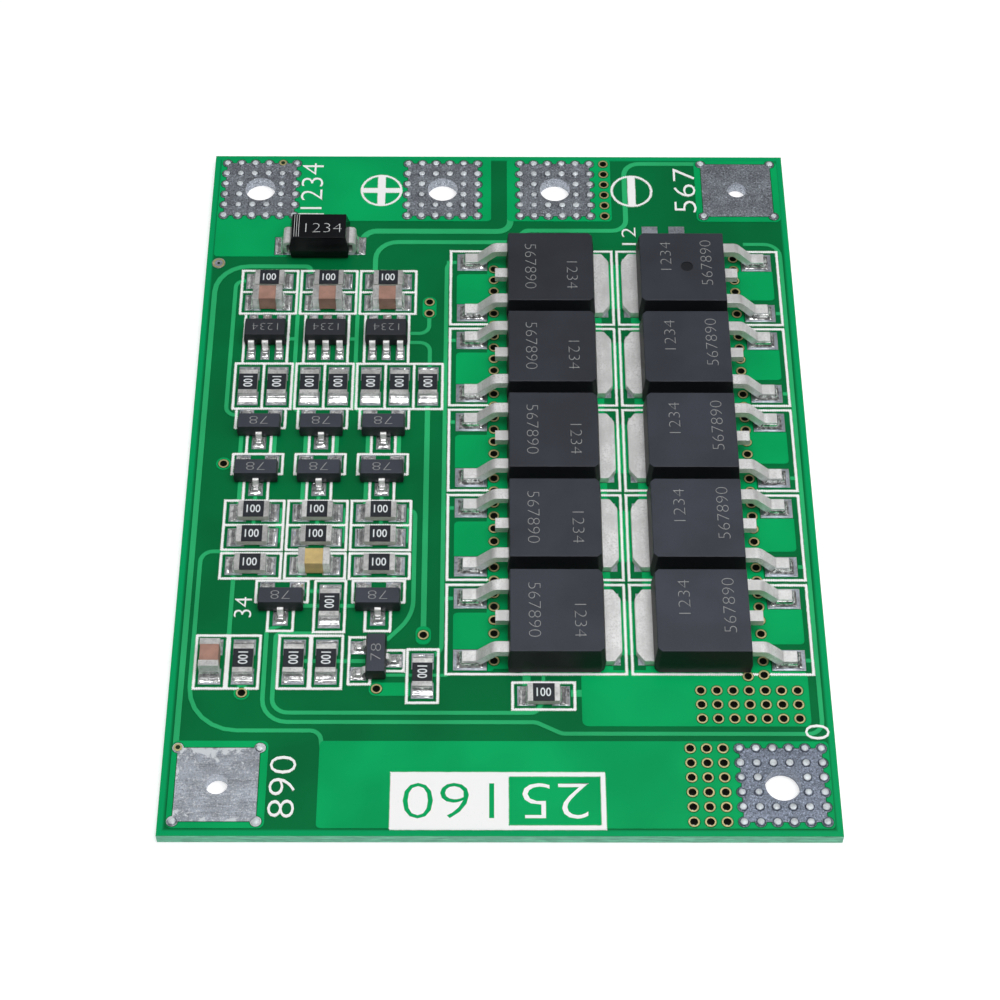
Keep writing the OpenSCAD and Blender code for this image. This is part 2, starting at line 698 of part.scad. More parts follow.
// Tracks under the mask: [width, open path of [x, y, corner radius]]
lane_y1 = fet_top + 1.88;
lane_y2 = fet_top + 0.86;
lane_x1 = left + 0.74;
lane_x2 = left + 1.3;
lane_x3 = left + 2.18;
wall_x = fet_x - 0.29;
edge_x = right - 0.7;
gate_y1 = small_low - 2.36;
gate_y2 = small_low - 1.7;
low_lane_y = (bus_low + low_field_top) / 2;
cell_tap_y = pads_low_y + pad_w / 2 + 1.22;
tracks = concat(
    [
        [diode_track_w, [
            [dio_x + 2.95, dio_y - 0.7, 0], [dio_x + 2.95, lane_y1, 1],
            [pole_x - pad_w / 2 - 0.72, lane_y1, 0.9], [pole_x - pad_w / 2 - 0.72, pads_top_y, 0]]],
        [sense_w, [
            [col_x(2) - 0.96, y_ra + 0.5, 0], [col_x(2) - 0.96, lane_y2, 2.9],
            [axis_x - 7.2, lane_y2, 0.5], [axis_x - 6.2, lane_y1 + 0.08, 0.5],
            [pole_x + pad_w / 2 + 2.5, lane_y1 + 0.08, 1],
            [pole_x + pad_w / 2 + 2.5, top - 0.7, 1.1], [pad_right_x - 2, top - 0.7, 0]]],
        [sense_w, [
            [col_x(1) - 1.35, y_ra + 0.5, 0], [col_x(1) - 1.35, small_top + 0.42, 0.35],
            [lane_x1, small_top + 0.42, 2.3], [lane_x1, pads_low_y + pad_w / 2, 0]]],
        [track_w, [
            [col_x(0) - 1.2, y_ra + 0.05, 0], [lane_x3, y_ra + 0.05, 1.1],
            [lane_x3, y_sd + 1.2, 0.9], [col_x(0) - 1.0, y_sd + 1.2, 0]]],
        [track_w, [
            [col_x(0) - 1.2, y_f3 + 1.12, 0], [lane_x2, y_f3 + 1.12, 0.8],
            [lane_x2, cell_tap_y, 3.1], [pad_left_x + pad_w / 2 + 3.6, cell_tap_y, 1],
            [pad_left_x + pad_w / 2 + 3.75, cell_tap_y - 1.3, 0]]],
        [track_w, [
            [x_sg + 0.2, y_sg - 1.5, 0], [col_x(0) + 1.3, y_sg - 2.0, 0.3],
            [col_x(0) + 1.3, gate_y1, 1.6], [gate_res_x - 0.5, gate_y1, 0.8],
            [gate_res_x + 1.1, low_lane_y, 0.8], [edge_x, low_lane_y, 0.9],
            [edge_x, fet_top + 0.72, 1.1], [right_strip_x + 0.8, fet_top + 0.72, 0]]],
        [track_w, [
            [col_x(1) + 0.2, row_y(row_h) + 0.18, 0], [col_x(0) + 1.9, row_y(row_h) + 0.18, 0.3],
            [col_x(0) + 1.9, gate_y2, 1], [gate_res_x - 0.5, gate_y2, 0.5],
            [gate_res_x, gate_res_y - 0.3, 0]]],
        [track_w, [
            [col_x(2) + 1.5, ic_y + 0.35, 0], [test_via_x, ic_y + 0.35, 1],
            [test_via_x, links[1].y, 0]]],
        [track_w, [
            [col_x(2) + 1.5, ic_y - 0.45, 0], [test_via_x + 0.08, ic_y - 0.45, 0.9],
            [test_via_x + 0.08, y_rc + 1.2, 0]]],
        [sense_w, [[test_via_x, y_rc - 1.2, 0], [test_via_x, links[3].y, 0]]],
        [track_w, [
            [fet_x + 0.9, fet_y(0) + 2.3, 0], [wall_x, fet_y(0) + 2.3, 0.6],
            [wall_x, pull_down_y + 1.9, 0.8], [pull_down_x + 0.2, pull_down_y + 1.1, 0]]],
        [track_w, [
            [col_x(2) + 1.3, y_f1 + 0.25, 0], [col_x(2) + 2.22, y_f1 + 0.25, 0.6],
            [col_x(2) + 2.22, y_sg - 0.9, 3], [col_x(2) + 0.6, y_sg - 2.7, 0]]],
        [track_w, [[col_x(0) - 1.05, y_f3 - 0.3, 0], [col_x(0) - 1.05, y_rh + 1.2, 0]]],
        [track_w, [[col_x(1) - 0.6, y_rh + 0.08, 0], [col_x(2) - 0.6, y_rh + 0.08, 0]]],
        [track_w, [[x_sg + 1.2, y_sg + 0.95, 0], [col_x(1) + 0.7, y_sg + 0.95, 0]]],
        [track_w, [[x_sg + 1.2, y_sg - 0.15, 0], [col_x(2) - 0.8, y_sg - 0.15, 0]]],
        [0.22, [[col_x(2) + 0.6, y_rh - 0.94, 0], [fet_x + 0.1, y_rh - 0.94, 0]]],
        [0.5, [[gate_res_x - 1.05, fet_low + 0.5, 0], [gate_res_x - 1.05, gate_res_y + 0.4, 0]]],
        [0.5, [[gate_res_x + 1.1, gate_res_y + 0.2, 0], [bus_left + 0.3, gate_res_y + 0.2, 0]]],
        [0.22, [[gate_res_x, fet_low + 0.4, 0], [gate_res_x, gate_res_y + 0.4, 0]]],
        [track_w, [[col_x(0) + 0.95, y_f3 - 0.4, 0], [col_x(0) + 0.95, y_sg + 1.4, 0]]],
        [track_w, [[col_x(1) - 0.95, y_f3 - 0.4, 0], [col_x(1) - 0.95, y_sg + 1.4, 0]]],
        [0.6, [[links[4].x, links[4].y, 0], [links[4].x, y_rh - 1.3, 0]]]
    ],
    [for (i = [0:1]) [track_w, [
        [col_x(i) + (col_w + col_gap) / 2, y_ra + 0.9, 0],
        [col_x(i) + (col_w + col_gap) / 2, y_rc - 1.75, 0.5],
        [col_x(i + 1) - 1.15, y_sd + 1.1, 0]]]],
    [for (i = [0:1]) [track_w, [
        [col_x(i) + 1.3, ic_y - 0.15, 0], [col_x(i) + (col_w + col_gap) / 2, ic_y - 0.15, 0]]]],
    [for (i = [0:2], s = [-1, 1])
        let (x = i == 0 && s < 0 ? col_x(i) - 1.2 : col_x(i) + s * 1.03)
        [track_w, [[x, y_sd + 0.7, 0], [x, y_se + 1, 0]]]],
    [for (i = [0:2]) [track_w, [
        [col_x(i) - 1.05, y_se + 0.7, 0], [col_x(i) - 1.05, y_f1 + 0.4, 0]]]],
    [for (i = [0:2]) [0.24, [[col_x(i), y_se - 1.3, 0], [col_x(i), y_f2 + 0.4, 0]]]],
    [for (i = [0:2]) [0.36, [[col_x(i) + 1.63, y_f1 + 0.4, 0], [col_x(i) + 1.63, y_f2 - 0.4, 0]]]],
    [for (s = [-1, 1]) [track_w, [
        [col_x(2) + s * 0.95, y_f3 - 0.4, 0], [col_x(2) + s * 0.95, y_sg + 1.4, 0]]]],
    [for (k = [0:fet_rows - 1]) [track_w, [
        [wall_x, fet_y(k) + fet_lead_span / 2, 0], [fet_x + 0.7, fet_y(k) + fet_lead_span / 2, 0]]]],
    [for (k = [0:fet_rows - 1]) [track_w, [
        [fet_right - 0.6, fet_y(k) - fet_lead_span / 2, 0], [edge_x, fet_y(k) - fet_lead_span / 2, 0]]]]
);

module field_shape() {
    difference() {
        copper_fields();
        bare_shape(mask_gap);
    }
}

module track_shape() {
    difference() {
        union()
            for (t = tracks)
                strip(t[0], t[1]);
        copper_fields();
        bare_shape(mask_gap);
    }
}

// Printed cell outlines
module frame_line(x0, y0, x1, y1) {
    difference() {
        field(x0 - print_w / 2, y0 - print_w / 2, x1 + print_w / 2, y1 + print_w / 2);
        field(x0 + print_w / 2, y0 + print_w / 2, x1 - print_w / 2, y1 - print_w / 2);
    }
}

module frame_about(x, y, l, w) {
    frame_line(x - l / 2, y - w / 2, x + l / 2, y + w / 2);
}

module bar(x0, y0, x1, y1) {
    half = print_w / 2;
    field(min(x0, x1) - half, min(y0, y1) - half, max(x0, x1) + half, max(y0, y1) + half);
}

// A cell for a small transistor: a box round its body and a box round its single land
sot_line_inset = 0.085;
sot_hook = 0.3;
sot_leg_side = 0.32;
sot_box_drop = 1.62;
sot_tuck = 0.15;
module sot_frame(c) {
    cell_top = c.y + sot_to_top;
    box_w = sot_box_w / 2 - sot_line_inset;
    box_in = box_w - sot_hook;
    leg_w = sot_land_w / 2 + sot_leg_side;
    box_low = cell_top - sot_box_drop;
    leg_top = c.y - sot_w / 2 + sot_tuck;
    leg_low = cell_top - sot_cell_h;
    bar(c.x - box_w, cell_top, c.x + box_w, cell_top);
    for (s = [-1, 1]) {
        bar(c.x + s * box_w, box_low, c.x + s * box_w, cell_top);
        bar(c.x + s * box_w, box_low, c.x + s * box_in, box_low);
        bar(c.x + s * leg_w, leg_low, c.x + s * leg_w, leg_top);
    }
    bar(c.x - leg_w, leg_low, c.x + leg_w, leg_low);
}

// The same for the transistor that lies on its side
module turned_sot_frame(c) {
    out = sot_to_top - 0.02;
    half = sot_pitch + sot_land_w / 2 + sot_box_side;
    inner = sot_w / 2 + 0.02;
    leg = sot_land_w / 2 + sot_box_side;
    hook_x = c.x - inner + sot_hook;
    bar(c.x - out, c.y - half, c.x - out, c.y + half);
    bar(c.x - out, c.y + half, c.x - inner, c.y + half);
    bar(c.x - out, c.y - half, hook_x, c.y - half);
    bar(hook_x, c.y - half, hook_x, c.y - half + sot_hook);
    bar(c.x + inner, c.y + leg, c.x + out, c.y + leg);
    bar(c.x + inner, c.y - leg, c.x + out, c.y - leg);
    bar(c.x + out, c.y - leg, c.x + out, c.y + leg);
}

// A pole sign: a ring with a cross or a single bar
sign_r = 1.42;
module pole_sign(x, y, bars) {
    translate([x, y]) {
        difference() {
            circle(sign_r + print_w / 2);
            circle(sign_r - print_w / 2);
        }
        intersection() {
            union()
                for (b = bars)
                    flat_box(0, 0, b.x, b.y);
            circle(sign_r);
        }
    }
}

module print_shape() {
    difference() {
        union() {
            for (c = flat_chips)
                if (c.x < fet_x)
                    frame_about(c.x, c.y, chip_cell_l, chip_cell_w);
            frame_about(gate_res_x, gate_res_y, chip_cell_l, chip_cell_w);
            for (c = upright_chips)
                frame_about(c.x, c.y, chip_cell_w, chip_cell_l);
            for (c = ics, s = [-1, 1])
                bar(c.x + s * (ic_l / 2 + 0.05), c.y - ic_span / 2 - ic_land_out - 0.2,
                    c.x + s * (ic_l / 2 + 0.05), c.y + ic_span / 2 + ic_land_out - 0.1);
            for (c = sots)
                if (c[2] == 0)
                    sot_frame(c);
                else
                    turned_sot_frame(c);
            for (k = [0:fet_rows - 1], s = [-1, 1]) {
                cell_x = axis_x + s * (fet_col_gap + fet_cell_l) / 2;
                frame_about(cell_x, fet_y(k), fet_cell_l, fet_cell_w);
            }
            bar(dio_x - 1.6, pads_top_y - pad_w / 2 + 0.1, dio_x, pads_top_y - pad_w / 2 + 0.1);
            pole_sign(-pole_x - pad_w / 2 - 1.88, pads_top_y - 0.1, [[0.5, 3], [3, 0.4]]);
            pole_sign(pole_x + pad_w / 2 + 3.0, pads_top_y - 0.12, [[0.5, 3]]);
            field(label_x0, label_low, label_x1, label_top);
            difference() {
                field(label_x1 - tiny, label_low, label_x2, label_top);
                field(label_x1 + 0.25, label_low + 0.25, label_x2 - 0.25, label_top - 0.25);
            }
        }
        bare_shape(mask_gap);
    }
}

// The label: a white field and an outlined box beside it
label_x0 = pad_left_x + pad_w / 2 + 8;
label_x1 = label_x0 + 6.85;
label_x2 = label_x1 + 6.1;
label_low = low + 0.42;
label_top = label_low + 3.85;

// One sub-part after another
module printed_board() {
    color(mask_colour) {
        linear_extrude(land_t)
            difference() {
                field(left, low, right, top);
                for (p = pads)
                    translate([p.x, p.y])
                        pad_shape(p, 0);
                for (v = open_vias)
                    translate(v)
                        circle(via_collar_r);
            }
        translate([0, 0, land_t])
            linear_extrude(board_t - land_t)
                difference() {
                    field(left, low, right, top);
                    for (p = pads) {
                        translate([p.x, p.y])
                            circle(p[2] + plating_t);
                        for (d = pad_vias(p))
                            translate([p.x + d.x, p.y + d.y])
                                circle(via_bore_r + plating_t);
                    }
                    for (v = open_vias)
                        translate(v)
                            circle(via_bore_r + plating_t);
                }
    }
}

module copper_sheets() {
    color(copper_colour)
        translate([0, 0, top_z])
            linear_extrude(track_t)
                field_shape();
}

module copper_tracks() {
    color(track_colour)
        translate([0, 0, top_z])
            linear_extrude(track_t)
                track_shape();
}

module component_lands() {
    color(tin_colour)
        translate([0, 0, top_z]) {
            for (l = lands)
                translate([l.x - l[2] / 2, l.y - l[3] / 2, 0])
                    cube([l[2], l[3], land_t]);
            translate(test_land)
                cylinder(r = test_land_r, h = land_t);
        }
}

module plated_vias() {
    collar = via_collar_r;
    wall = via_bore_r + plating_t;
    color(via_colour)
        for (v = open_vias)
            translate(v)
                rotate_extrude()
                    polygon([
                        [via_bore_r, 0], [collar, 0], [collar, land_t], [wall, land_t],
                        [wall, top_z], [collar, top_z], [collar, land_z], [via_bore_r, land_z]
                    ]);
}

module print_marks() {
    color(print_colour)
        translate([0, 0, top_z])
            difference() {
                linear_extrude(track_t + print_t)
                    print_shape();
                linear_extrude(track_t)
                    field_shape();
                linear_extrude(track_t)
                    track_shape();
            }
}

module terminal_pad(p) {
    wall = via_bore_r + plating_t;
    bump_r = via_collar_r - 0.02;
    color(tin_colour)
        translate([p.x, p.y, 0])
            difference() {
                union() {
                    for (z = [0, top_z])
                        translate([0, 0, z])
                            linear_extrude(land_t)
                                pad_shape(p, 0);
                    translate([0, 0, land_t / 2])
                        cylinder(r = p[2] + plating_t, h = board_t);
                    for (d = pad_vias(p))
                        translate([d.x, d.y, land_t / 2]) {
                            cylinder(r = wall, h = board_t);
                            translate([0, 0, board_t])
                                cylinder(r1 = bump_r, r2 = via_bore_r, h = bump_h + land_t / 2);
                        }
                }
                translate([0, 0, -1])
                    cylinder(r = p[2], h = board_t + 2);
            }
}

// Power transistor: tab end at x = 0, leads towards +X, seated on z = 0
fet_body_end = fet_tab_out + fet_body_l;
fet_body_x = fet_tab_out + fet_body_l / 2;
fet_lead_low = fet_lead_z - fet_metal_t / 2;
fet_low_lean = 0.06;
fet_lead_root = 0.6;
fet_bend_r = 0.42;
fet_slug_l = 5.2;
ejector_r = 0.5;
ejector_depth = 0.04;
ejector_shift = 0.3;

module fet_lead() {
    foot_z = fet_metal_t / 2;
    along_y(fet_lead_w)
        strip(fet_metal_t, [
            [fet_body_end - fet_lead_root, fet_lead_z, 0],
            [fet_body_end + fet_lead_flat, fet_lead_z, fet_bend_r],
            [fet_l - fet_foot, foot_z, fet_bend_r],
            [fet_l, foot_z, 0]
        ]);
}

// The slug that ends in the tab, and the middle lead that rises from it inside the body
module fet_metal() {
    half = fet_tab_w / 2;
    end_r = 0.4;
    side_r = 0.2;
    riser = 0.5;
    linear_extrude(fet_metal_t)
        polygon(smooth_outline([
            [0, fet_tab_cut_w - half, end_r], [fet_tab_cut_l, -half, side_r],
            [fet_slug_l, -half, 0], [fet_slug_l, half, 0],
            [fet_tab_cut_l, half, side_r], [0, half - fet_tab_cut_w, end_r]
        ]));
    translate([fet_slug_l - riser, -fet_lead_w / 2, 0]) {
        cube([riser, fet_lead_w, fet_lead_low + fet_metal_t]);
        translate([0, 0, fet_lead_low])
            cube([fet_body_end + fet_stub - fet_slug_l + riser, fet_lead_w, fet_metal_t]);
    }
}

module fet_leads() {
    for (s = [-1, 1])
        translate([0, s * fet_lead_span / 2, 0])
            fet_lead();
}

module fet_block() {
    cut = fet_corner_cut;
    x0 = fet_tab_out;
    x1 = fet_tab_out + fet_body_l;
    y1 = fet_body_w / 2;
    intersection() {
        translate([fet_body_x, 0, 0])
            moulded_block(fet_body_l, fet_body_w, 0, fet_part_z, fet_body_h,
                fet_low_lean, fet_lean, fet_end_lean);
        linear_extrude(fet_body_h)
            polygon([
                [x0, cut - y1], [x0 + cut, -y1], [x1, -y1],
                [x1, y1], [x0 + cut, y1], [x0, y1 - cut]
            ]);
    }
}

module at_fet(i) {
    translate([axis_x + fet_side(i) * fet_tab_x, fet_y(fet_row(i)), land_z])
        mirror([fet_side(i) < 0 ? 1 : 0, 0, 0])
            children();
}

module power_transistor_body(i) {
    color(mould_colour)
        at_fet(i)
            difference() {
                fet_block();
                fet_metal();
                fet_leads();
                if (i == fet_rows)
                    translate([fet_body_x + ejector_shift, 0, fet_body_h - ejector_depth])
                        cylinder(r = ejector_r, h = 1);
            }
}

module power_transistor_metal(i) {
    color(lead_colour)
        at_fet(i) {
            fet_metal();
            fet_leads();
        }
}

// A lead that leaves a small body, bends down and ends in a foot; body side at y = 0
module gull_lead(reach, exit_z, t, w, foot) {
    rotate([0, 0, 90])
        along_y(w)
            strip(t, [[-0.25, exit_z, 0], [(reach - foot) * 0.45, exit_z, 0.12],
                [reach - foot, t / 2, 0.12], [reach, t / 2, 0]]);
}

small_gap = 0.08;
well_depth = 0.2;

// Forms of the small moulded bodies: share of the height under the widest line, and the leans
small_part = 0.55;
small_low_lean = 0.05;
sot_lean = 0.09;
ic_lean = 0.1;
dio_low_lean = 0.12;
dio_lean = 0.22;

module sot_block() {
    moulded_block(sot_l, sot_w, small_gap, small_part * sot_h, sot_h,
        small_low_lean, sot_lean, sot_lean);
}

module sot_leads() {
    for (g = sot_legs)
        translate([g.x, g.y * sot_w / 2, 0])
            mirror([0, g.y < 0 ? 1 : 0, 0])
                gull_lead((sot_span - sot_w) / 2, 0.5 * sot_h, sot_lead_t, sot_lead_w, sot_foot);
}

module at_sot(c) {
    translate([c.x, c.y, land_z])
        rotate([0, 0, c[2]])
            children();
}

module small_transistor_body(i) {
    color(mould_colour)
        at_sot(sots[i])
            difference() {
                sot_block();
                sot_leads();
            }
}

module small_transistor_leads() {
    color(lead_colour)
        for (c = sots)
            at_sot(c)
                sot_leads();
}

module ic_leads() {
    for (g = ic_legs)
        translate([g.x, g.y * ic_w / 2, 0])
            mirror([0, g.y < 0 ? 1 : 0, 0])
                gull_lead((ic_span - ic_w) / 2, 0.5 * ic_h, sot_lead_t, ic_lead_w, ic_foot);
}

module supervisor_chip_body(i) {
    color(mould_colour)
        translate([ics[i].x, ics[i].y, land_z])
            difference() {
                moulded_block(ic_l, ic_w, small_gap, small_part * ic_h, ic_h,
                    small_low_lean, ic_lean, ic_lean);
                ic_leads();
            }
}

module supervisor_chip_leads(i) {
    color(lead_colour)
        translate([ics[i].x, ics[i].y, land_z])
            ic_leads();
}

// Diode leads leave at half height, run down outside the body and fold under it
module diode_lead() {
    t = dio_lead_t;
    out = (dio_span - t) / 2;
    along_y(dio_lead_w)
        strip(t, [[dio_l / 2 - 0.4, 0.5 * dio_h, 0], [out, 0.5 * dio_h, 0.2],
            [out, t / 2, 0.2], [dio_l / 2 - 0.9, t / 2, 0]]);
}

module diode_metal() {
    for (s = [0, 1])
        mirror([s, 0, 0])
            diode_lead();
}

module diode_body() {
    color(mould_colour)
        translate([dio_x, dio_y, land_z])
            difference() {
                moulded_block(dio_l, dio_w, small_gap, dio_h / 2, dio_h,
                    dio_low_lean, dio_lean, dio_lean);
                diode_metal();
            }
}

module diode_leads() {
    color(lead_colour)
        translate([dio_x, dio_y, land_z])
            diode_metal();
}

// Chip parts lie along X about their middle, seated on z = 0
module at_chips(kinds) {
    for (c = flat_chips)
        if (len(search(c[2], kinds)) > 0)
            translate([c.x, c.y, land_z])
                children();
    for (c = upright_chips)
        if (len(search(c[2], kinds)) > 0)
            translate([c.x, c.y, land_z])
                rotate([0, 0, 90])
                    children();
}

module centred_box(l, w, z0, z1) {
    translate([-l / 2, -w / 2, z0])
        cube([l, w, z1 - z0]);
}

module resistor_ceramic() {
    color(ceramic_colour)
        at_chips([RESISTOR])
            centred_box(chip_l - 2 * end_t, chip_w, end_t, res_h - end_t);
}

module resistor_glaze() {
    color(glaze_colour)
        at_chips([RESISTOR])
            centred_box(chip_l - 2 * res_end, chip_w, res_h - end_t, res_h);
}

module resistor_ends() {
    color(tin_colour)
        at_chips([RESISTOR])
            for (s = [0, 1])
                mirror([s, 0, 0])
                    difference() {
                        translate([chip_l / 2 - res_end, -chip_w / 2, 0])
                            cube([res_end, chip_w, res_h]);
                        centred_box(chip_l - 2 * end_t, chip_w + 1, end_t, res_h - end_t);
                    }
}

module capacitor_block() {
    centred_box(chip_l - 2 * end_t, chip_w - 2 * end_t, end_t, cap_h - end_t);
}

module brown_capacitor_bodies() {
    color(brown_colour)
        at_chips([BROWN_CAPACITOR])
            capacitor_block();
}

module tan_capacitor_body() {
    color(tan_colour)
        at_chips([TAN_CAPACITOR])
            capacitor_block();
}

module capacitor_ends() {
    color(tin_colour)
        at_chips([BROWN_CAPACITOR, TAN_CAPACITOR])
            for (s = [0, 1])
                mirror([s, 0, 0])
                    difference() {
                        translate([chip_l / 2 - cap_end, -chip_w / 2, 0])
                            cube([cap_end, chip_w, cap_h]);
                        capacitor_block();
                    }
}

// Room for a foot that ends at x = reach, through the solder down to its land
module foot_well(reach, foot, t, w) {
    heel = 0.12;
    translate([reach - foot - heel, -w / 2, -well_depth])
        cube([foot + heel, w, well_depth + t / 2]);
}

// Solder fillets round the leads and at the ends of the chips
module power_solder() {
    rim = 0.03;
    grip = 0.05;
    tip_h = 0.36;
    color(solder_colour)
        for (i = [0:FETS - 1], s = [-1, 1])
            at_fet(i)
                difference() {
                    translate([fet_l + fet_land_out - fet_land_l / 2, s * fet_lead_span / 2, 0])
                        mound(fet_land_l - 2 * rim, fet_land_w - 2 * rim,
                            fet_foot + 2 * grip, fet_lead_w + 2 * grip, tip_h);
                    translate([0, s * fet_lead_span / 2, 0]) {
                        fet_lead();
                        foot_well(fet_l, fet_foot, fet_metal_t, fet_lead_w);
                    }
                }
}

module chip_fillet(h) {
    rim = 0.02;
    climb = 0.72;
    run = chip_land_out - 2 * rim;
    rise = climb * h;
    outline = concat([[0, 0]], [for (k = [0:arc_steps])
        let (t = 90 * k / arc_steps)
        [run * (1 - sin(t)), rise * (1 - cos(t))]]);
    translate([chip_l / 2, 0, 0])
        intersection() {
            along_y(chip_land_w)
                polygon(outline);
            translate([run / 2, 0, 0])
                along_x(run + 1)
                    polygon([
                        [rim - chip_land_w / 2, 0], [chip_land_w / 2 - rim, 0],
                        [chip_w / 2 - 2 * rim, rise], [2 * rim - chip_w / 2, rise]
                    ]);
        }
}

module small_solder() {
    rim = 0.02;
    tip_l = 0.35;
    tip_h = 0.2;
    dio_tip_l = 0.7;
    dio_tip_h = 0.5;
    cap_wetting = 0.6;
    color(solder_colour) {
        at_chips([RESISTOR])
            for (s = [0, 1])
                mirror([s, 0, 0])
                    chip_fillet(res_h);
        at_chips([BROWN_CAPACITOR, TAN_CAPACITOR])
            for (s = [0, 1])
                mirror([s, 0, 0])
                    chip_fillet(cap_h * cap_wetting);
        for (c = sots)
            at_sot(c)
                difference() {
                    for (g = sot_legs)
                        translate([g.x, g.y * sot_land_d, 0])
                            mound(sot_land_w - 2 * rim, sot_land_l - 2 * rim, sot_lead_w, tip_l, tip_h);
                    sot_leads();
                    sot_block();
                    for (g = sot_legs)
                        translate([g.x, 0, 0])
                            rotate([0, 0, g.y * 90])
                                foot_well(sot_span / 2, sot_foot, sot_lead_t, sot_lead_w);
                }
        for (c = ics)
            translate([c.x, c.y, land_z])
                difference() {
                    for (g = ic_legs)
                        translate([g.x, g.y * ic_land_d, 0])
                            mound(ic_land_w - 2 * rim, ic_land_l - 2 * rim, ic_lead_w, tip_l, tip_h);
                    ic_leads();
                    centred_box(ic_l, ic_w, small_gap, ic_h);
                    for (g = ic_legs)
                        translate([g.x, 0, 0])
                            rotate([0, 0, g.y * 90])
                                foot_well(ic_span / 2, ic_foot, sot_lead_t, ic_lead_w);
                }
        translate([dio_x, dio_y, land_z])
            for (s = [0, 1])
                mirror([s, 0, 0])
                    difference() {
                        translate([(dio_land_span - dio_land_l) / 2, 0, 0])
                            mound(dio_land_l - 2 * rim, dio_land_w - 2 * rim,
                                dio_tip_l, dio_lead_w, dio_tip_h);
                        centred_box(dio_span, 2 * dio_w, -well_depth, dio_h);
                    }
    }
}

printed_board();
copper_sheets();
copper_tracks();
component_lands();
plated_vias();
print_marks();
for (i = [0:len(pads) - 1])
    terminal_pad(pads[i]);
for (i = [1:FETS])
    power_transistor_body(i - 1);
for (i = [1:FETS])
    power_transistor_metal(i - 1);
for (i = [1:SUPERVISORS])
    supervisor_chip_body(i - 1);
for (i = [1:SUPERVISORS])
    supervisor_chip_leads(i - 1);
diode_body();
diode_leads();
for (i = [1:SMALL_TRANSISTORS])
    small_transistor_body(i - 1);
small_transistor_leads();
resistor_ceramic();
resistor_glaze();
resistor_ends();
brown_capacitor_bodies();
tan_capacitor_body();
capacitor_ends();
power_solder();
small_solder();
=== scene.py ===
"""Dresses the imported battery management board: finishes, mouldings, print, numbers and studio."""

import math

import bmesh
import bpy
from bpy.props import FloatProperty, FloatVectorProperty, IntProperty, PointerProperty
from bpy.types import Operator, Panel, PropertyGroup
from mathutils import Matrix, Vector, noise


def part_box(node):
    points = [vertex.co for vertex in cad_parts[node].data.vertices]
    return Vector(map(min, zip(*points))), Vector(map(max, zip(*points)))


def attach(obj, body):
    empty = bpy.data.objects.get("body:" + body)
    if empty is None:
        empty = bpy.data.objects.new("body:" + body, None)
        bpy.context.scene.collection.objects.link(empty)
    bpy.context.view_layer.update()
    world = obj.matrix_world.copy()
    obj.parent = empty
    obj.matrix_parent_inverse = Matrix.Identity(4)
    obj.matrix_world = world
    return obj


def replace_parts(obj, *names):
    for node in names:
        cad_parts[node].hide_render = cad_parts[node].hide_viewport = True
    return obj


bl_info = {
    "name": "Battery management board",
    "version": (1, 0, 0),
    "blender": (4, 5, 0),
    "location": "View3D > Sidebar > Board",
    "description": "Finishes, rounded mouldings, print and studio for a battery management board",
    "category": "Object",
}

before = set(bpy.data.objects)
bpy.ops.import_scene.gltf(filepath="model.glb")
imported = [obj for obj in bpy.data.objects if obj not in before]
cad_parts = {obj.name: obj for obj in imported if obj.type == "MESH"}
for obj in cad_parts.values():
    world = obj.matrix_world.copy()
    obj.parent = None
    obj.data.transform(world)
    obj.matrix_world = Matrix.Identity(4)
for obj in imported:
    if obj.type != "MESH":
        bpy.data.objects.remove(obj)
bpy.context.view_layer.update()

MM = 0.001
ROOT = "root"
BOARD_LOW, BOARD_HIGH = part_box("printed_board")
LAMINATE_TOP = BOARD_HIGH.z
PRINT_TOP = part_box("print_marks")[1].z
LAND_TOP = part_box("component_lands")[1].z


def nodes_named(start="", end=""):
    """CAD nodes whose names start and end so, in order."""
    return sorted(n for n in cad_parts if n.startswith(start) and n.endswith(end))


PAD_NODES = nodes_named(end="_pad")
WIRE_PADS = [n for n in PAD_NODES if not n.startswith("cell_")]
POWER_BODIES = nodes_named("power_transistor_body_")
POWER_METALS = nodes_named("power_transistor_metal_")
SMALL_BODIES = nodes_named("small_transistor_body_")
SUPERVISOR_BODIES = nodes_named("supervisor_chip_body_")
SUPERVISOR_LEADS = nodes_named("supervisor_chip_leads_")
# Numbers on a power transistor, by the side its tab is on.
# Each is the text, its distance toward the tab, its distance along Y and its length, in mm.
POWER_MARKS = {
    1: (("1234", 1.46, -0.8, 2.4), ("567890", -1.38, 0.0, 4.0)),
    -1: (("1234", 1.12, 0.95, 2.5), ("567890", -1.65, 0.35, 4.0)),
}
POWER_MARK_HEIGHT = 0.76 * MM
# The resistors' number: its length and height
CHIP_MARK = (0.9 * MM, 0.62 * MM)
BODIES_IN_COLUMN = 5
# The body with a shallow ejector mark, how far across that lies and how deep it is
MARKED_BODY = "power_transistor_body_6"
EJECTOR_SHIFT = 0.3 * MM
EJECTOR_DEPTH = 0.05 * MM
# Printed numbers: the text, X and Y of its middle, its length and height in mm, its turn in degrees
PRINTED_NUMBERS = (
    ("1234", -13.4, 24.5, 4.4, 1.55, 90),
    ("567", 13.35, 24.2, 4.2, 1.55, 90),
    ("890", -13.15, -24.15, 4.2, 1.6, 90),
    ("12", 9.2, 19.8, 1.6, 1.0, 90),
    ("34", -16.25, -11.35, 1.5, 1.1, 90),
    ("0", 19.45, -20.35, 1.05, 1.5, 90),
    ("25", 3.35, -25.1, 4.0, 2.4, 180),
)
FIELD_NUMBERS = (("160", -3.1, -25.1, 5.5, 2.4, 180),)
# How far the strokes of numbers are thickened, as a share of the font's size
THIN, REGULAR, BOLD = -0.03, -0.015, 0.008
# Waves per millimetre of the ripple on solder
RIPPLE_WAVES = 3.1
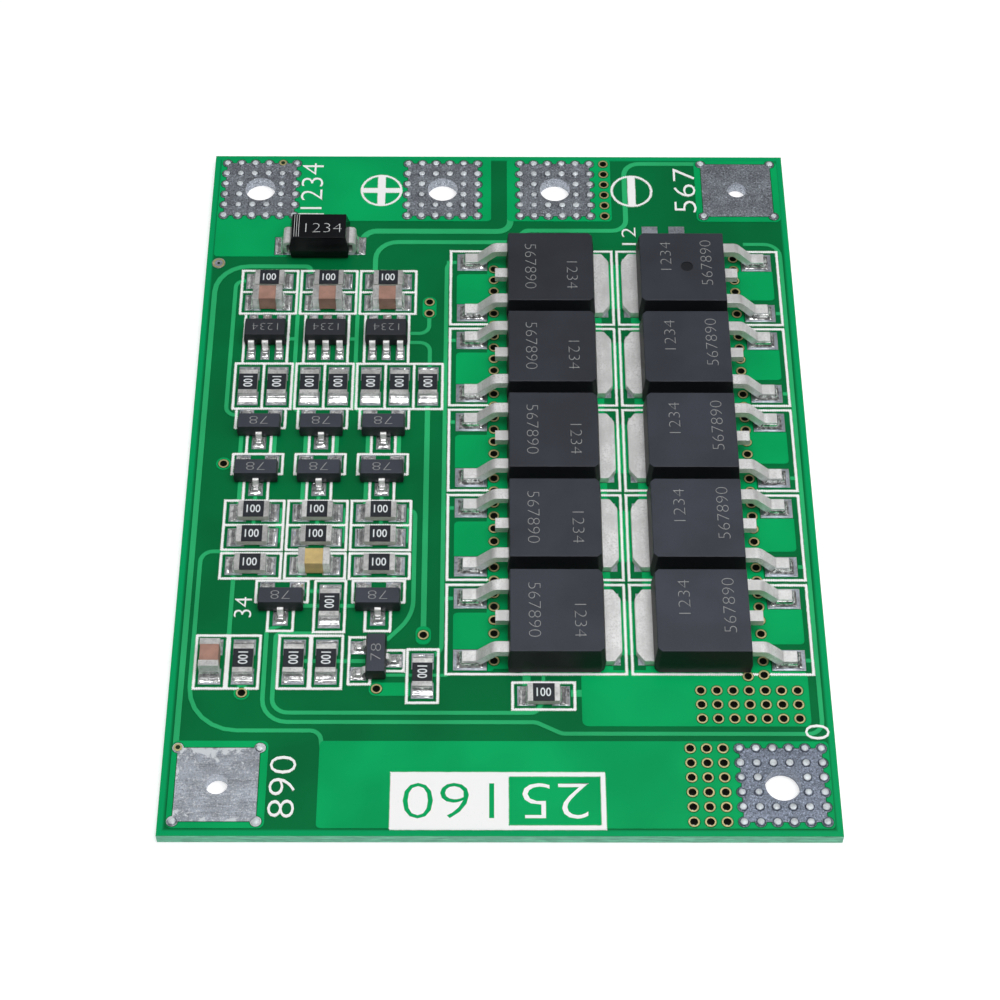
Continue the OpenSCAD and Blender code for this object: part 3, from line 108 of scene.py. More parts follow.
# Bare rings: the radius of the bore, a dark disc of painted shade, then the inner and the outer radius
# of the ring
OPEN_VIA = (0.15 * MM, 0.15 * MM, 0.27 * MM)
TEST_POINT = (0.1 * MM, 0.3 * MM, 0.42 * MM)
# Vias that solder hasn't filled: the pad, and the via's column and row in it
OPEN_VIAS = {("battery_plus_pad", 4, 5), ("cell_two_pad", 0, 1)}


def colour(name, default, description):
    """A colour setting in scene-linear values."""
    return FloatVectorProperty(
        name=name, subtype="COLOR", size=3, min=0.0, max=1.0, default=default, description=description
    )


def number(name, default, description, **more):
    """A setting that is a plain number."""
    return FloatProperty(name=name, default=default, description=description, **more)


def length(name, millimetres, description, low=0.0):
    """A length setting that is written in millimetres and held in metres."""
    return number(
        name, millimetres * MM, description, subtype="DISTANCE", unit="LENGTH", min=low, precision=6
    )


class BoardColours(PropertyGroup):
    """Colours of every finish."""

    mask: colour("Solder mask", (0.0, 0.16, 0.044), "Mask over bare laminate")
    mask_rim: colour("Mask at the rim", (0.0, 0.36, 0.115), "Mask lit through the laminate's edges")
    sheet: colour("Mask over wide copper", (0.0, 0.39, 0.113), "Mask over the copper fields")
    track: colour("Mask over tracks", (0.025, 0.45, 0.158), "Mask over narrow tracks")
    laminate: colour("Cut laminate", (0.27, 0.72, 0.5), "Sawn edge of the glass-epoxy sheet")
    silk: colour("Print", (1.0, 1.0, 1.0), "White print")
    tin: colour("Tinned pads", (0.36, 0.39, 0.44), "Levelled tin on pads and lands")
    ring: colour("Via rings", (0.57, 0.52, 0.25), "Thin tin over copper at the vias")
    lead: colour("Lead metal", (0.95, 0.95, 0.94), "Matte tin on tabs and leads")
    solder: colour("Solder", (0.92, 0.93, 0.95), "Bright solder")
    dome: colour("Via solder", (0.66, 0.71, 0.74), "Solder frozen on the filled vias")
    mould: colour("Moulding", (0.023, 0.026, 0.035), "Dark moulded epoxy")
    mark: colour("Marks on mouldings", (0.34, 0.35, 0.35), "Burnt marks on the mouldings")
    ceramic: colour("Ceramic", (0.52, 0.52, 0.48), "Core of the resistors")
    glaze: colour("Glaze", (0.016, 0.019, 0.026), "Glaze on the resistors")
    brown: colour("Brown ceramic", (0.39, 0.22, 0.17), "Four of the capacitors")
    tan: colour("Tan ceramic", (0.62, 0.46, 0.19), "One capacitor")


class BoardSizes(PropertyGroup):
    """Sizes that the dressing adds to the model."""

    power_round: length("Power body rounding", 0.05, "Edge rounding of the power transistors' bodies")
    small_round: length("Small body rounding", 0.03, "Edge rounding of the small bodies")
    dot_pitch: length("Print dot pitch", 0.15, "Distance between the dots along a printed edge")
    dot_radius: length("Print dot radius", 0.055, "Radius of one printed dot")
    dome_radius: length("Solder dome radius", 0.25, "Radius of the solder on a filled via")
    dome_height: length("Solder dome height", 0.13, "Height of the solder on a filled via")
    mark_gap: length("Mark lift", 0.004, "Height of a mark above its surface")
    seed: IntProperty(name="Seed", default=7, min=0, description="Seed of every random change")


class StageSettings(PropertyGroup):
    """Camera, lights and floor."""

    lens: number("Lens", 86.62, "Focal length on a 36 mm sensor, in mm", min=10.0)
    distance: length("Camera distance", 157.287, "From the camera to the point it looks at")
    elevation: number("Elevation", math.radians(54.959), "Camera's height angle", subtype="ANGLE")
    yaw: number("Yaw", 0.0100015, "Turn of the board under the camera", subtype="ANGLE")
    roll: number("Roll", -0.009976, "Camera's roll", subtype="ANGLE")
    aim_x: length("Aim across", 0.0406, "Where the camera looks, across", low=-1.0)
    aim_y: length("Aim along", -2.9998, "Where the camera looks, along", low=-1.0)
    top_power: number("Top lamp", 0.4, "Softbox over the board", min=0.0, unit="POWER")
    side_power: number("Side lamps", 0.03, "Each side softbox", min=0.0, unit="POWER")
    dome: number("Ceiling", 1.2, "Brightness of the room overhead", min=0.0)
    slope: number("Cove", 0.45, "Brightness between walls and ceiling", min=0.0)
    wall: number("Walls", 0.12, "Brightness of the room's walls", min=0.0)


def colours():
    """The colour settings of the scene."""
    return bpy.context.scene.board_colours


def sizes():
    """The size settings of the scene."""
    return bpy.context.scene.board_sizes


def put(tree, value, socket):
    """Links an input to a socket, or sets it to a plain value."""
    if isinstance(value, bpy.types.NodeSocket):
        tree.links.new(value, socket)
    else:
        socket.default_value = value


def fill(tree, node, **inputs):
    """Links a node's named inputs to sockets, or sets them to plain values."""
    for name, value in inputs.items():
        put(tree, value, node.inputs[name.replace("_", " ")])
    return node


def add(tree, kind, **inputs):
    """A new node of a kind with its named inputs filled."""
    return fill(tree, tree.nodes.new(kind), **inputs)


def add_in_order(tree, kind, *values):
    """A new node of a kind with its first inputs filled."""
    made = tree.nodes.new(kind)
    for socket, value in zip(made.inputs, values):
        put(tree, value, socket)
    return made


def math_node(tree, operation, *values, clamp=False):
    """A Math node's output from sockets or numbers."""
    made = add_in_order(tree, "ShaderNodeMath", *values)
    made.operation = operation
    made.use_clamp = clamp
    return made.outputs[0]


def mix_colours(tree, factor, a, b):
    """A colour between a and b; each is a socket or a colour."""
    made = tree.nodes.new("ShaderNodeMix")
    made.data_type = "RGBA"
    sockets = {s.identifier: s for s in (*made.inputs, *made.outputs)}
    put(tree, factor, sockets["Factor_Float"])
    for name, value in (("A_Color", a), ("B_Color", b)):
        put(tree, value if isinstance(value, bpy.types.NodeSocket) else (*value, 1.0), sockets[name])
    return sockets["Result_Color"]


def map_range(tree, value, low, high, to_low=0.0, to_high=1.0, smooth=False):
    """A value carried from one range to another, and held at its ends."""
    made = add(
        tree, "ShaderNodeMapRange", Value=value, From_Min=low, From_Max=high, To_Min=to_low,
        To_Max=to_high,
    )
    made.interpolation_type = "SMOOTHSTEP" if smooth else "LINEAR"
    return made.outputs["Result"]


def object_coordinates(tree):
    """The piece's own coordinates."""
    return tree.nodes.new("ShaderNodeTexCoord").outputs["Object"]


def parts_of(tree, vector):
    """The X, Y and Z of a vector."""
    return add(tree, "ShaderNodeSeparateXYZ", Vector=vector).outputs


def vector_of(tree, **parts):
    """A vector from its X, Y and Z."""
    return add(tree, "ShaderNodeCombineXYZ", **parts).outputs[0]


def shader_group(name, inputs, outputs):
    """An empty shader node group, its inputs' sockets and its outputs' sockets."""
    tree = bpy.data.node_groups.new(name, "ShaderNodeTree")
    for label, default in inputs:
        socket = tree.interface.new_socket(name=label, in_out="INPUT", socket_type="NodeSocketFloat")
        socket.default_value = default
    for label in outputs:
        tree.interface.new_socket(name=label, in_out="OUTPUT", socket_type="NodeSocketFloat")
    return tree, tree.nodes.new("NodeGroupInput").outputs, tree.nodes.new("NodeGroupOutput").inputs


def object_noise(tree, scale, detail=3.0, roughness=0.55, stretch=None):
    """Noise in the piece's own coordinates; scale is a socket or a number per metre."""
    place = object_coordinates(tree)
    if stretch:
        place = add(tree, "ShaderNodeMapping", Vector=place, Scale=stretch).outputs["Vector"]
    made = add(
        tree, "ShaderNodeTexNoise", Vector=place, Scale=scale, Detail=detail, Roughness=roughness
    )
    return made.outputs["Fac"]


def grain_group():
    """Grain shared by mouldings, ceramics and metals: a broad cloud and a fine grain."""
    tree, given, out = shader_group(
        "Grain", [("Cloud scale", 300.0), ("Grain scale", 9000.0)], ["Cloud", "Grain"]
    )
    cloud = object_noise(tree, given["Cloud scale"], 2.0)
    put(tree, map_range(tree, cloud, 0.3, 0.7, smooth=True), out["Cloud"])
    put(tree, object_noise(tree, given["Grain scale"], 4.0, 0.6), out["Grain"])
    return tree


def streak_group():
    """Streaks that a leveller or a cutter leaves along one direction."""
    tree, given, out = shader_group("Streaks", [("Scale", 2500.0)], ["Along", "Across"])
    along = object_noise(tree, given["Scale"], 4.0, 0.65, (0.12, 1, 1))
    across = object_noise(tree, given["Scale"], 3.0, 0.6, (1, 0.15, 1))
    put(tree, map_range(tree, along, 0.35, 0.65), out["Along"])
    put(tree, map_range(tree, across, 0.4, 0.65), out["Across"])
    return tree


def rim_group():
    """One at the board's outline and nought a band inside it."""
    tree, given, out = shader_group("Board rim", [("Band", 0.5 * MM)], ["Rim"])
    parts = parts_of(tree, object_coordinates(tree))
    across = math_node(tree, "SUBTRACT", BOARD_HIGH.x, math_node(tree, "ABSOLUTE", parts["X"]))
    along = math_node(tree, "SUBTRACT", BOARD_HIGH.y, math_node(tree, "ABSOLUTE", parts["Y"]))
    nearest = math_node(tree, "MINIMUM", across, along)
    share = math_node(tree, "DIVIDE", nearest, given["Band"], clamp=True)
    put(tree, map_range(tree, share, 0.55, 1.0, 1.0, 0.0, smooth=True), out["Rim"])
    return tree


def side_group():
    """One on faces that look sideways, nought on faces that look up or down."""
    tree, given, out = shader_group("Side faces", [("Limit", 0.5)], ["Side"])
    normal = tree.nodes.new("ShaderNodeNewGeometry").outputs["True Normal"]
    upright = math_node(tree, "ABSOLUTE", parts_of(tree, normal)["Z"])
    put(tree, math_node(tree, "LESS_THAN", upright, given["Limit"]), out["Side"])
    return tree


GROUP_MAKERS = {
    "Grain": grain_group,
    "Streaks": streak_group,
    "Board rim": rim_group,
    "Side faces": side_group,
}


def shared(tree, name, **values):
    """Outputs of a shared group, made on first use and placed in a material with its own values."""
    group = bpy.data.node_groups.get(name) or GROUP_MAKERS[name]()
    made = tree.nodes.new("ShaderNodeGroup")
    made.node_tree = group
    return fill(tree, made, **values).outputs


class Finish:
    """A material under construction: one Principled BSDF with constants on its own sockets."""

    def __init__(self, name, scales=None, **values):
        """Starts the material; scales are those of its cloud and grain, values its shader's own."""
        self.material = bpy.data.materials.new(name)
        self.material.use_nodes = True
        self.tree = self.material.node_tree
        self.tree.nodes.clear()
        self.shader = add(self.tree, "ShaderNodeBsdfPrincipled", **values)
        add(self.tree, "ShaderNodeOutputMaterial", Surface=self.shader.outputs["BSDF"])
        if scales:
            grain = shared(self.tree, "Grain", Cloud_scale=scales[0], Grain_scale=scales[1])
            self.cloud, self.grain = grain["Cloud"], grain["Grain"]

    def link(self, socket, label):
        """Feeds one of the shader's inputs."""
        put(self.tree, socket, self.shader.inputs[label])

    def bump(self, height, strength, distance, edge=0.0):
        """Bump from a height; distance, and the radius of sharp edges, are in mm."""
        distance *= MM
        made = add(self.tree, "ShaderNodeBump", Height=height, Strength=strength, Distance=distance)
        if edge:
            bevel = add(self.tree, "ShaderNodeBevel", Radius=edge * MM)
            bevel.samples = 4
            put(self.tree, bevel.outputs["Normal"], made.inputs["Normal"])
        self.link(made.outputs["Normal"], "Normal")

    def shade(self, factor, dark, light):
        """Base colour between two colours."""
        self.link(mix_colours(self.tree, factor, dark, light), "Base Color")

    def rough(self, factor, low, high):
        """Roughness between two values."""
        self.link(map_range(self.tree, factor, 0.0, 1.0, low, high), "Roughness")


def scaled(rgb, k):
    """A colour made brighter or darker, and never brighter than white."""
    return tuple(min(1.0, c * k) for c in rgb)


def mask_finish(name, rgb, gloss, rim=True):
    """Glossy solder mask; with rim, its border is lit through the laminate and its sides are sawn."""
    finish = Finish(name, (160.0, 2600.0), Specular_IOR_Level=0.1)
    tree = finish.tree
    tone = mix_colours(tree, finish.cloud, scaled(rgb, 0.88), scaled(rgb, 1.1))
    if rim:
        side = shared(tree, "Side faces")["Side"]
        tone = mix_colours(tree, shared(tree, "Board rim")["Rim"], tone, colours().mask_rim)
        fibres = object_noise(tree, 5200.0, 3.0, 0.6, (0.16, 0.16, 1.6))
        sheet = colours().laminate
        strands = map_range(tree, fibres, 0.35, 0.65)
        sawn = mix_colours(tree, strands, scaled(sheet, 0.8), scaled(sheet, 1.25))
        tone = mix_colours(tree, side, tone, sawn)
        finish.rough(side, gloss, 0.75)
    else:
        finish.rough(finish.cloud, gloss, gloss + 0.06)
    finish.link(tone, "Base Color")
    finish.bump(finish.grain, 0.12, 0.01, 0.03)
    return finish.material


def silk_finish():
    """Matte white ink with small gaps that let a little green through."""
    finish = Finish("Print ink", (700.0, 14000.0), Specular_IOR_Level=0.25, Roughness=0.6)
    thin = map_range(finish.tree, finish.grain, 0.62, 0.74)
    ink = colours().silk
    finish.shade(thin, ink, (ink[0] * 0.55, ink[1] * 0.8, ink[2] * 0.68))
    finish.bump(finish.grain, 0.2, 0.01)
    return finish.material


def flux_crust(tree, node):
    """One where a pale crust lies along the back, left and front borders of a pad."""
    low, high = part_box(node)
    parts = parts_of(tree, object_coordinates(tree))
    back = math_node(tree, "SUBTRACT", high.y, parts["Y"])
    left = math_node(tree, "MULTIPLY", math_node(tree, "SUBTRACT", parts["X"], low.x), 1.5)
    front = math_node(tree, "MULTIPLY", math_node(tree, "SUBTRACT", parts["Y"], low.y), 1.6)
    near = math_node(tree, "MINIMUM", back, math_node(tree, "MINIMUM", left, front))
    lean = map_range(tree, near, 0.2 * MM, 1.7 * MM, 0.11, -0.16)
    cloud = object_noise(tree, 1300.0, 4.0, 0.65)
    return map_range(tree, math_node(tree, "ADD", cloud, lean), 0.52, 0.58)


def tin_finish(name, rgb, gloss, streaks=0.5, flecks=0.0, crust=None):
    """Levelled tin, mottled, streaked and flecked; crust names a pad that has flux on it."""
    finish = Finish(name, (900.0, 6500.0), Metallic=1.0)
    tree = finish.tree
    streak = shared(tree, "Streaks", Scale=3600.0)
    cloud = math_node(tree, "MULTIPLY", finish.cloud, 1.0 - streaks)
    blend = math_node(tree, "MULTIPLY", streak["Along"], streaks)
    patch = math_node(tree, "ADD", cloud, blend, clamp=True)
    tone = mix_colours(tree, patch, scaled(rgb, 0.78), scaled(rgb, 1.12))
    gloss_out = map_range(tree, patch, 0.0, 1.0, gloss, gloss + 0.14)
    height = math_node(tree, "ADD", finish.grain, streak["Along"])
    if flecks:
        light = map_range(tree, object_noise(tree, 9000.0, 2.0, 0.8), 0.53, 0.66, 0.0, flecks)
        dark = map_range(tree, object_noise(tree, 7000.0, 2.0, 0.8), 0.5, 0.36, 0.0, flecks)
        tone = mix_colours(tree, light, tone, scaled(rgb, 2.3))
        tone = mix_colours(tree, dark, tone, scaled(rgb, 0.35))
    if crust:
        pale = flux_crust(tree, crust)
        tone = mix_colours(tree, pale, tone, (0.66, 0.7, 0.73))
        gloss_out = math_node(tree, "ADD", gloss_out, math_node(tree, "MULTIPLY", pale, 0.35))
        finish.link(map_range(tree, pale, 0.0, 1.0, 1.0, 0.1), "Metallic")
        height = math_node(tree, "ADD", height, pale)
    finish.link(tone, "Base Color")
    finish.link(gloss_out, "Roughness")
    finish.bump(height, 0.35, 0.012, 0.02)
    return finish.material


def plated_lead_finish():
    """Matte tin on tabs and leads, with rolling marks, small dark specks and rounded edges."""
    finish = Finish("Matte tin plate", (650.0, 8000.0), Metallic=0.7)
    tree = finish.tree
    streak = shared(tree, "Streaks", Scale=1800.0)
    rgb = colours().lead
    marks = math_node(tree, "MULTIPLY", math_node(tree, "ADD", finish.cloud, streak["Across"]), 0.5)
    clear = map_range(tree, object_noise(tree, 8500.0, 2.0, 0.8), 0.36, 0.52)
    finish.shade(math_node(tree, "MULTIPLY", marks, clear), scaled(rgb, 0.77), (1.0, 1.0, 1.0))
    finish.rough(finish.cloud, 0.46, 0.6)
    finish.bump(finish.grain, 0.6, 0.02, 0.05)
    return finish.material


def ring_finish():
    """Thin gold-toned tin round a bore whose walls carry painted shade, near black."""
    finish = Finish("Plated ring", (2400.0, 9000.0), Metallic=0.6)
    tree = finish.tree
    bore = shared(tree, "Side faces")["Side"]
    rgb = colours().ring
    tone = mix_colours(tree, finish.cloud, scaled(rgb, 0.8), scaled(rgb, 1.1))
    # Painted shade: the bore's walls are near black.
    finish.shade(bore, tone, (0.012, 0.02, 0.008))
    finish.rough(bore, 0.42, 0.9)
    finish.bump(finish.grain, 0.3, 0.01)
    return finish.material


def dome_finish(rgb):
    """Dull solder on the filled vias."""
    finish = Finish("Solder on vias", (2600.0, 9000.0), Metallic=0.1, Roughness=0.4)
    finish.shade(finish.cloud, scaled(rgb, 0.8), scaled(rgb, 1.2))
    finish.bump(finish.grain, 0.3, 0.02)
    return finish.material


def solder_finish(name, reflection_patch_scale, painted_reflection_share):
    """Bright frozen solder, rippled, with patches of painted dark reflection that are darker by a
    share.
    """
    finish = Finish(name, Metallic=0.82)
    tree = finish.tree
    ripple = object_noise(tree, 2600.0, 2.0, 0.5)
    patch = object_noise(tree, reflection_patch_scale, 3.0, 0.6)
    rgb = colours().solder
    # Painted reflection: darker patches stand in for the dark things the solder mirrors.
    finish.shade(map_range(tree, patch, 0.42, 0.55), scaled(rgb, painted_reflection_share), scaled(rgb, 1.08))
    finish.rough(ripple, 0.1, 0.24)
    finish.bump(ripple, 0.3, 0.03)
    return finish.material


def mould_finish(name, rgb, gloss=0.42, painted_side_shade=0.3, shine=0.35):
    """Spark-eroded dark epoxy with a fine matte grain; its sides carry painted shade, darker by a
    share.
    """
    finish = Finish(name, (260.0, 11000.0), Specular_IOR_Level=shine)
    tree = finish.tree
    cloud = math_node(tree, "MULTIPLY", finish.cloud, 0.4)
    tone = math_node(tree, "ADD", math_node(tree, "MULTIPLY", finish.grain, 0.6), cloud)
    top = mix_colours(tree, tone, scaled(rgb, 0.7), scaled(rgb, 1.35))
    side = shared(tree, "Side faces")["Side"]
    # Painted shade: faces that look sideways get the top's colour darkened by a share.
    finish.shade(side, top, scaled(rgb, painted_side_shade))
    finish.rough(finish.grain, gloss, gloss + 0.2)
    finish.bump(finish.grain, 0.5, 0.02)
    return finish.material


def ceramic_finish(name, rgb, gloss=0.5):
    """Fired ceramic with a dense speckle."""
    finish = Finish(name, (1400.0, 12000.0), Specular_IOR_Level=0.4)
    finish.shade(finish.cloud, scaled(rgb, 0.88), scaled(rgb, 1.12))
    finish.rough(finish.grain, gloss, gloss + 0.15)
    finish.bump(finish.grain, 0.3, 0.015, 0.04)
    return finish.material


def ink_finish(name, rgb, gaps=0.3):
    """Marks on a part: flat colour broken up by the surface under it."""
    finish = Finish(name, (2500.0, 16000.0), Specular_IOR_Level=0.2, Roughness=0.7)
    finish.shade(finish.grain, scaled(rgb, 1.0 - gaps), scaled(rgb, 1.0 + gaps))
    return finish.material


def dress(nodes, material):
    """Gives CAD nodes a finish."""
    for name in nodes:
        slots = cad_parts[name].data.materials
        slots.clear()
        slots.append(material)


def linked(name, data):
    """A new object in the scene."""
    made = bpy.data.objects.new(name, data)
    bpy.context.scene.collection.objects.link(made)
    return made


def mesh_from(bm, name):
    """A mesh made from a bmesh, which is freed."""
    mesh = bpy.data.meshes.new(name)
    bm.to_mesh(mesh)
    bm.free()
    return mesh


def piece_from_mesh(name, mesh, material):
    """Links a finished mesh as a piece that rides on the board."""
    mesh.materials.clear()
    mesh.materials.append(material)
    made = linked(name, mesh)
    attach(made, ROOT)
    return made


def stand_in(node, ending, mesh, material):
    """Links a finished mesh as the piece that replaces a CAD node."""
    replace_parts(piece_from_mesh(node + ending, mesh, material), node)


def evaluated_mesh(holder, name):
    """The holder's mesh with its modifiers applied; the holder is then removed."""
    bpy.context.view_layer.update()
    graph = bpy.context.evaluated_depsgraph_get()
    mesh = bpy.data.meshes.new_from_object(holder.evaluated_get(graph))
    mesh.name = name
    bpy.data.objects.remove(holder)
    return mesh


def plan_outline(low, high, inset_x, inset_y, cut, cut_sides):
    """Corners of a rectangle, anticlockwise, cut on the named sides (-1 left, 1 right)."""
    x0, x1, y0, y1 = low.x + inset_x, high.x - inset_x, low.y + inset_y, high.y - inset_y
    points = []
    for x, y, first in ((x0, y0, "y"), (x1, y0, "x"), (x1, y1, "y"), (x0, y1, "x")):
        side = -1 if x == x0 else 1
        if cut and side in cut_sides:
            toward_x = (x - side * cut, y)
            toward_y = (x, y + (cut if y == y0 else -cut))
            points += [toward_y, toward_x] if first == "y" else [toward_x, toward_y]
        else:
            points.append((x, y))
    return points


def moulding(name, node, part_share, low_lean, top_lean, rounding, cut=0.0, cut_sides=(), mark=None):
    """A drafted moulding with rounded edges in the box of a CAD body, which it stands for.

    top_lean is how far the ends across X and the sides across Y lean in; mark is the place and
    radius of a shallow ejector mark in the top. The top is left a hair low, so that a mark on it
    fits in the CAD box.
    """
    low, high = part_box(node)
    high.z -= sizes().mark_gap
    levels = (
        (low.z, low_lean, low_lean),
        (low.z + part_share * (high.z - low.z), 0.0, 0.0),
        (high.z, *top_lean),
    )
    bm = bmesh.new()
    rings = []
    for z, dx, dy in levels:
        corners = plan_outline(low, high, dx, dy, cut, cut_sides)
        rings.append([bm.verts.new((x, y, z)) for x, y in corners])
    bm.faces.new(reversed(rings[0]))
    bm.faces.new(rings[-1])
    for lower, upper in zip(rings, rings[1:]):
        for i, vert in enumerate(lower):
            j = (i + 1) % len(lower)
            bm.faces.new((vert, lower[j], upper[j], upper[i]))
    mesh = mesh_from(bm, name)
    mesh.shade_smooth()
    holder = linked("holder", mesh)
    bevel = holder.modifiers.new("Rounded edges", "BEVEL")
    bevel.width = rounding
    bevel.segments = 3
    bevel.limit_method = "ANGLE"
    bevel.angle_limit = math.radians(20)
    bevel.harden_normals = True
    if mark is None:
        return evaluated_mesh(holder, name)
    bm = bmesh.new()
    bmesh.ops.create_cone(
        bm, cap_ends=True, segments=32, radius1=mark[1], radius2=mark[1], depth=2 * EJECTOR_DEPTH,
        matrix=Matrix.Translation((*mark[0], high.z)),
    )
    tool = linked("cutter", mesh_from(bm, "cutter"))
    recess = holder.modifiers.new("Ejector mark", "BOOLEAN")
    recess.operation = "DIFFERENCE"
    recess.object = tool
    made = evaluated_mesh(holder, name)
    bpy.data.objects.remove(tool)
    return made


def melted_mesh(node, name, voxel, ripple):
    """A smooth, slightly rippled skin over a copy of CAD solder; voxel and ripple are in mm."""
    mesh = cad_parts[node].data.copy()
    mesh.transform(Matrix.Scale(1 / MM, 4))
    holder = linked("holder", mesh)
    weld = holder.modifiers.new("Merge", "WELD")
    weld.merge_threshold = 1e-3
    skin = holder.modifiers.new("Skin", "REMESH")
    skin.mode = "VOXEL"
    skin.voxel_size = voxel
    skin.use_smooth_shade = True
    flow = holder.modifiers.new("Flow", "SMOOTH")
    flow.factor = 0.5
    flow.iterations = 4
    thin = holder.modifiers.new("Thin out", "DECIMATE")
    thin.ratio = 0.6
    made = evaluated_mesh(holder, name)
    normals = [vert.normal.copy() for vert in made.vertices]
    for vert, normal in zip(made.vertices, normals):
        vert.co += normal * ripple * noise.noise(vert.co * RIPPLE_WAVES)
    made.transform(Matrix.Scale(MM, 4))
    return made


def disc_mesh(name, spots, sides=28):
    """Flat discs and rings that look up; a spot is (centre, inner radius or nought, outer radius)."""
    bm = bmesh.new()
    turns = [2 * math.pi * i / sides for i in range(sides)]
    for centre, inner, outer in spots:
        rim, bore = [
            [bm.verts.new(centre + r * Vector((math.cos(t), math.sin(t), 0.0))) for t in turns if r]
            for r in (outer, inner)
        ]
        if not bore:
            bm.faces.new(rim)
            continue
        for i in range(sides):
            k = (i + 1) % sides
            bm.faces.new((rim[i], rim[k], bore[k], bore[i]))
    return mesh_from(bm, name)


def number_mesh(name, marks, weight):
    """One mesh of plain numbers; a mark is (text, length, height, centre, turn, thickness)."""
    bm = bmesh.new()
    for text, long, high, centre, turn, thick in marks:
        curve = bpy.data.curves.new("number", "FONT")
        curve.body = text
        curve.resolution_u = 3
        curve.offset = weight
        curve.extrude = 0.5 if thick else 0.0
        mesh = evaluated_mesh(linked("holder", curve), "number")
        xs = [v.co.x for v in mesh.vertices]
        ys = [v.co.y for v in mesh.vertices]
        size = (long / (max(xs) - min(xs)), high / (max(ys) - min(ys)), thick or 1.0, 1.0)
        middle = Vector(((max(xs) + min(xs)) / 2, (max(ys) + min(ys)) / 2, 0))
        place = Matrix.Translation(centre) @ Matrix.Rotation(math.radians(turn), 4, "Z")
        mesh.transform(place @ Matrix.Diagonal(size) @ Matrix.Translation(-middle))
        bm.from_mesh(mesh)
        bpy.data.meshes.remove(mesh)
        bpy.data.curves.remove(curve)
    return mesh_from(bm, name)


def number_piece(name, marks, ink, weight=THIN):
    """Plain numbers as a piece of their own."""
    piece_from_mesh(name, number_mesh(name, marks, weight), ink)


def disc_piece(name, spots, material):
    """Discs and rings as a piece of their own."""
    piece_from_mesh(name, disc_mesh(name, spots), material)


def geometry_group(name, numbers):
    """An empty geometry node group, its inputs' sockets and its output's socket.

    The inputs are a mesh, named numbers, a seed and a material.
    """
    tree = bpy.data.node_groups.new(name, "GeometryNodeTree")
    tree.is_modifier = True
    kinds = [("Geometry", "Geometry"), *((label, "Float") for label in numbers), ("Seed", "Int")]
    tree.interface.new_socket(name="Geometry", in_out="OUTPUT", socket_type="NodeSocketGeometry")
    for label, kind in (*kinds, ("Finish", "Material")):
        tree.interface.new_socket(name=label, in_out="INPUT", socket_type="NodeSocket" + kind)
    return tree, tree.nodes.new("NodeGroupInput").outputs, tree.nodes.new("NodeGroupOutput").inputs


def spread(mesh, tree, name, **values):
    """The mesh that a geometry node group makes from another mesh."""
    holder = linked("holder", mesh)
    modifier = holder.modifiers.new("Repeat", "NODES")
    modifier.node_group = tree
    identifiers = {s.name: s.identifier for s in tree.interface.items_tree if s.in_out == "INPUT"}
    for label, value in values.items():
        modifier[identifiers[label.replace("_", " ")]] = value
    return evaluated_mesh(holder, name)


def finish_repeat(tree, given, out, points, shape, scale):
    """Copies of a shape on points, realised, with the group's material, as the group's result."""
    copies = add(tree, "GeometryNodeInstanceOnPoints", Points=points, Instance=shape, Scale=scale)
    whole = add(tree, "GeometryNodeRealizeInstances", Geometry=copies.outputs["Instances"])
    last = add(tree, "GeometryNodeSetMaterial", Geometry=whole.outputs[0])
    put(tree, given["Finish"], last.inputs["Material"])
    put(tree, last.outputs["Geometry"], out["Geometry"])


def random_scale(tree, given, low, high):
    """A random number between two, from the group's seed."""
    made = tree.nodes.new("FunctionNodeRandomValue")
    made.data_type = "FLOAT"
    made.inputs[2].default_value = low
    made.inputs[3].default_value = high
    put(tree, given["Seed"], made.inputs["Seed"])
    return made.outputs[1]


def print_dot_group():
    """Dots along the upper outline of the print, as a screen or an ink jet leaves them."""
    numbers = ("Pitch", "Radius", "Height", "Top", "Sink")
    tree, given, out = geometry_group("Print dots", numbers)
    merge = add(tree, "GeometryNodeMergeByDistance", Geometry=given["Geometry"], Distance=1e-6)
    angle = tree.nodes.new("GeometryNodeInputMeshEdgeAngle").outputs["Unsigned Angle"]
    ends = tree.nodes.new("GeometryNodeInputMeshEdgeVertices").outputs
    sharp = math_node(tree, "GREATER_THAN", angle, math.radians(45))
    heights = [parts_of(tree, ends[label])["Z"] for label in ("Position 1", "Position 2")]
    # Edges count as upper ones within two thousandths of a millimetre of the top
    level = math_node(tree, "SUBTRACT", given["Top"], 0.002 * MM)
    upper = math_node(tree, "GREATER_THAN", math_node(tree, "MINIMUM", *heights), level)
    outline = add(
        tree, "GeometryNodeMeshToCurve", Mesh=merge.outputs["Geometry"],
        Selection=math_node(tree, "MULTIPLY", sharp, upper),
    )
    spaced = tree.nodes.new("GeometryNodeResampleCurve")
    spaced.mode = "LENGTH"
    fill(tree, spaced, Curve=outline.outputs["Curve"], Length=given["Pitch"])
    dot = add(
        tree, "GeometryNodeMeshCylinder", Vertices=5, Radius=given["Radius"],
        Depth=given["Height"],
    )
    dot.fill_type = "NGON"
    half = math_node(tree, "MULTIPLY", given["Height"], -0.5)
    down = vector_of(tree, Z=math_node(tree, "SUBTRACT", half, given["Sink"]))
    lower = add(tree, "GeometryNodeTransform", Geometry=dot.outputs["Mesh"], Translation=down)
    wide = random_scale(tree, given, 0.8, 1.15)
    scale = vector_of(tree, X=wide, Y=wide, Z=1.0)
    finish_repeat(tree, given, out, spaced.outputs["Curve"], lower.outputs["Geometry"], scale)
    return tree


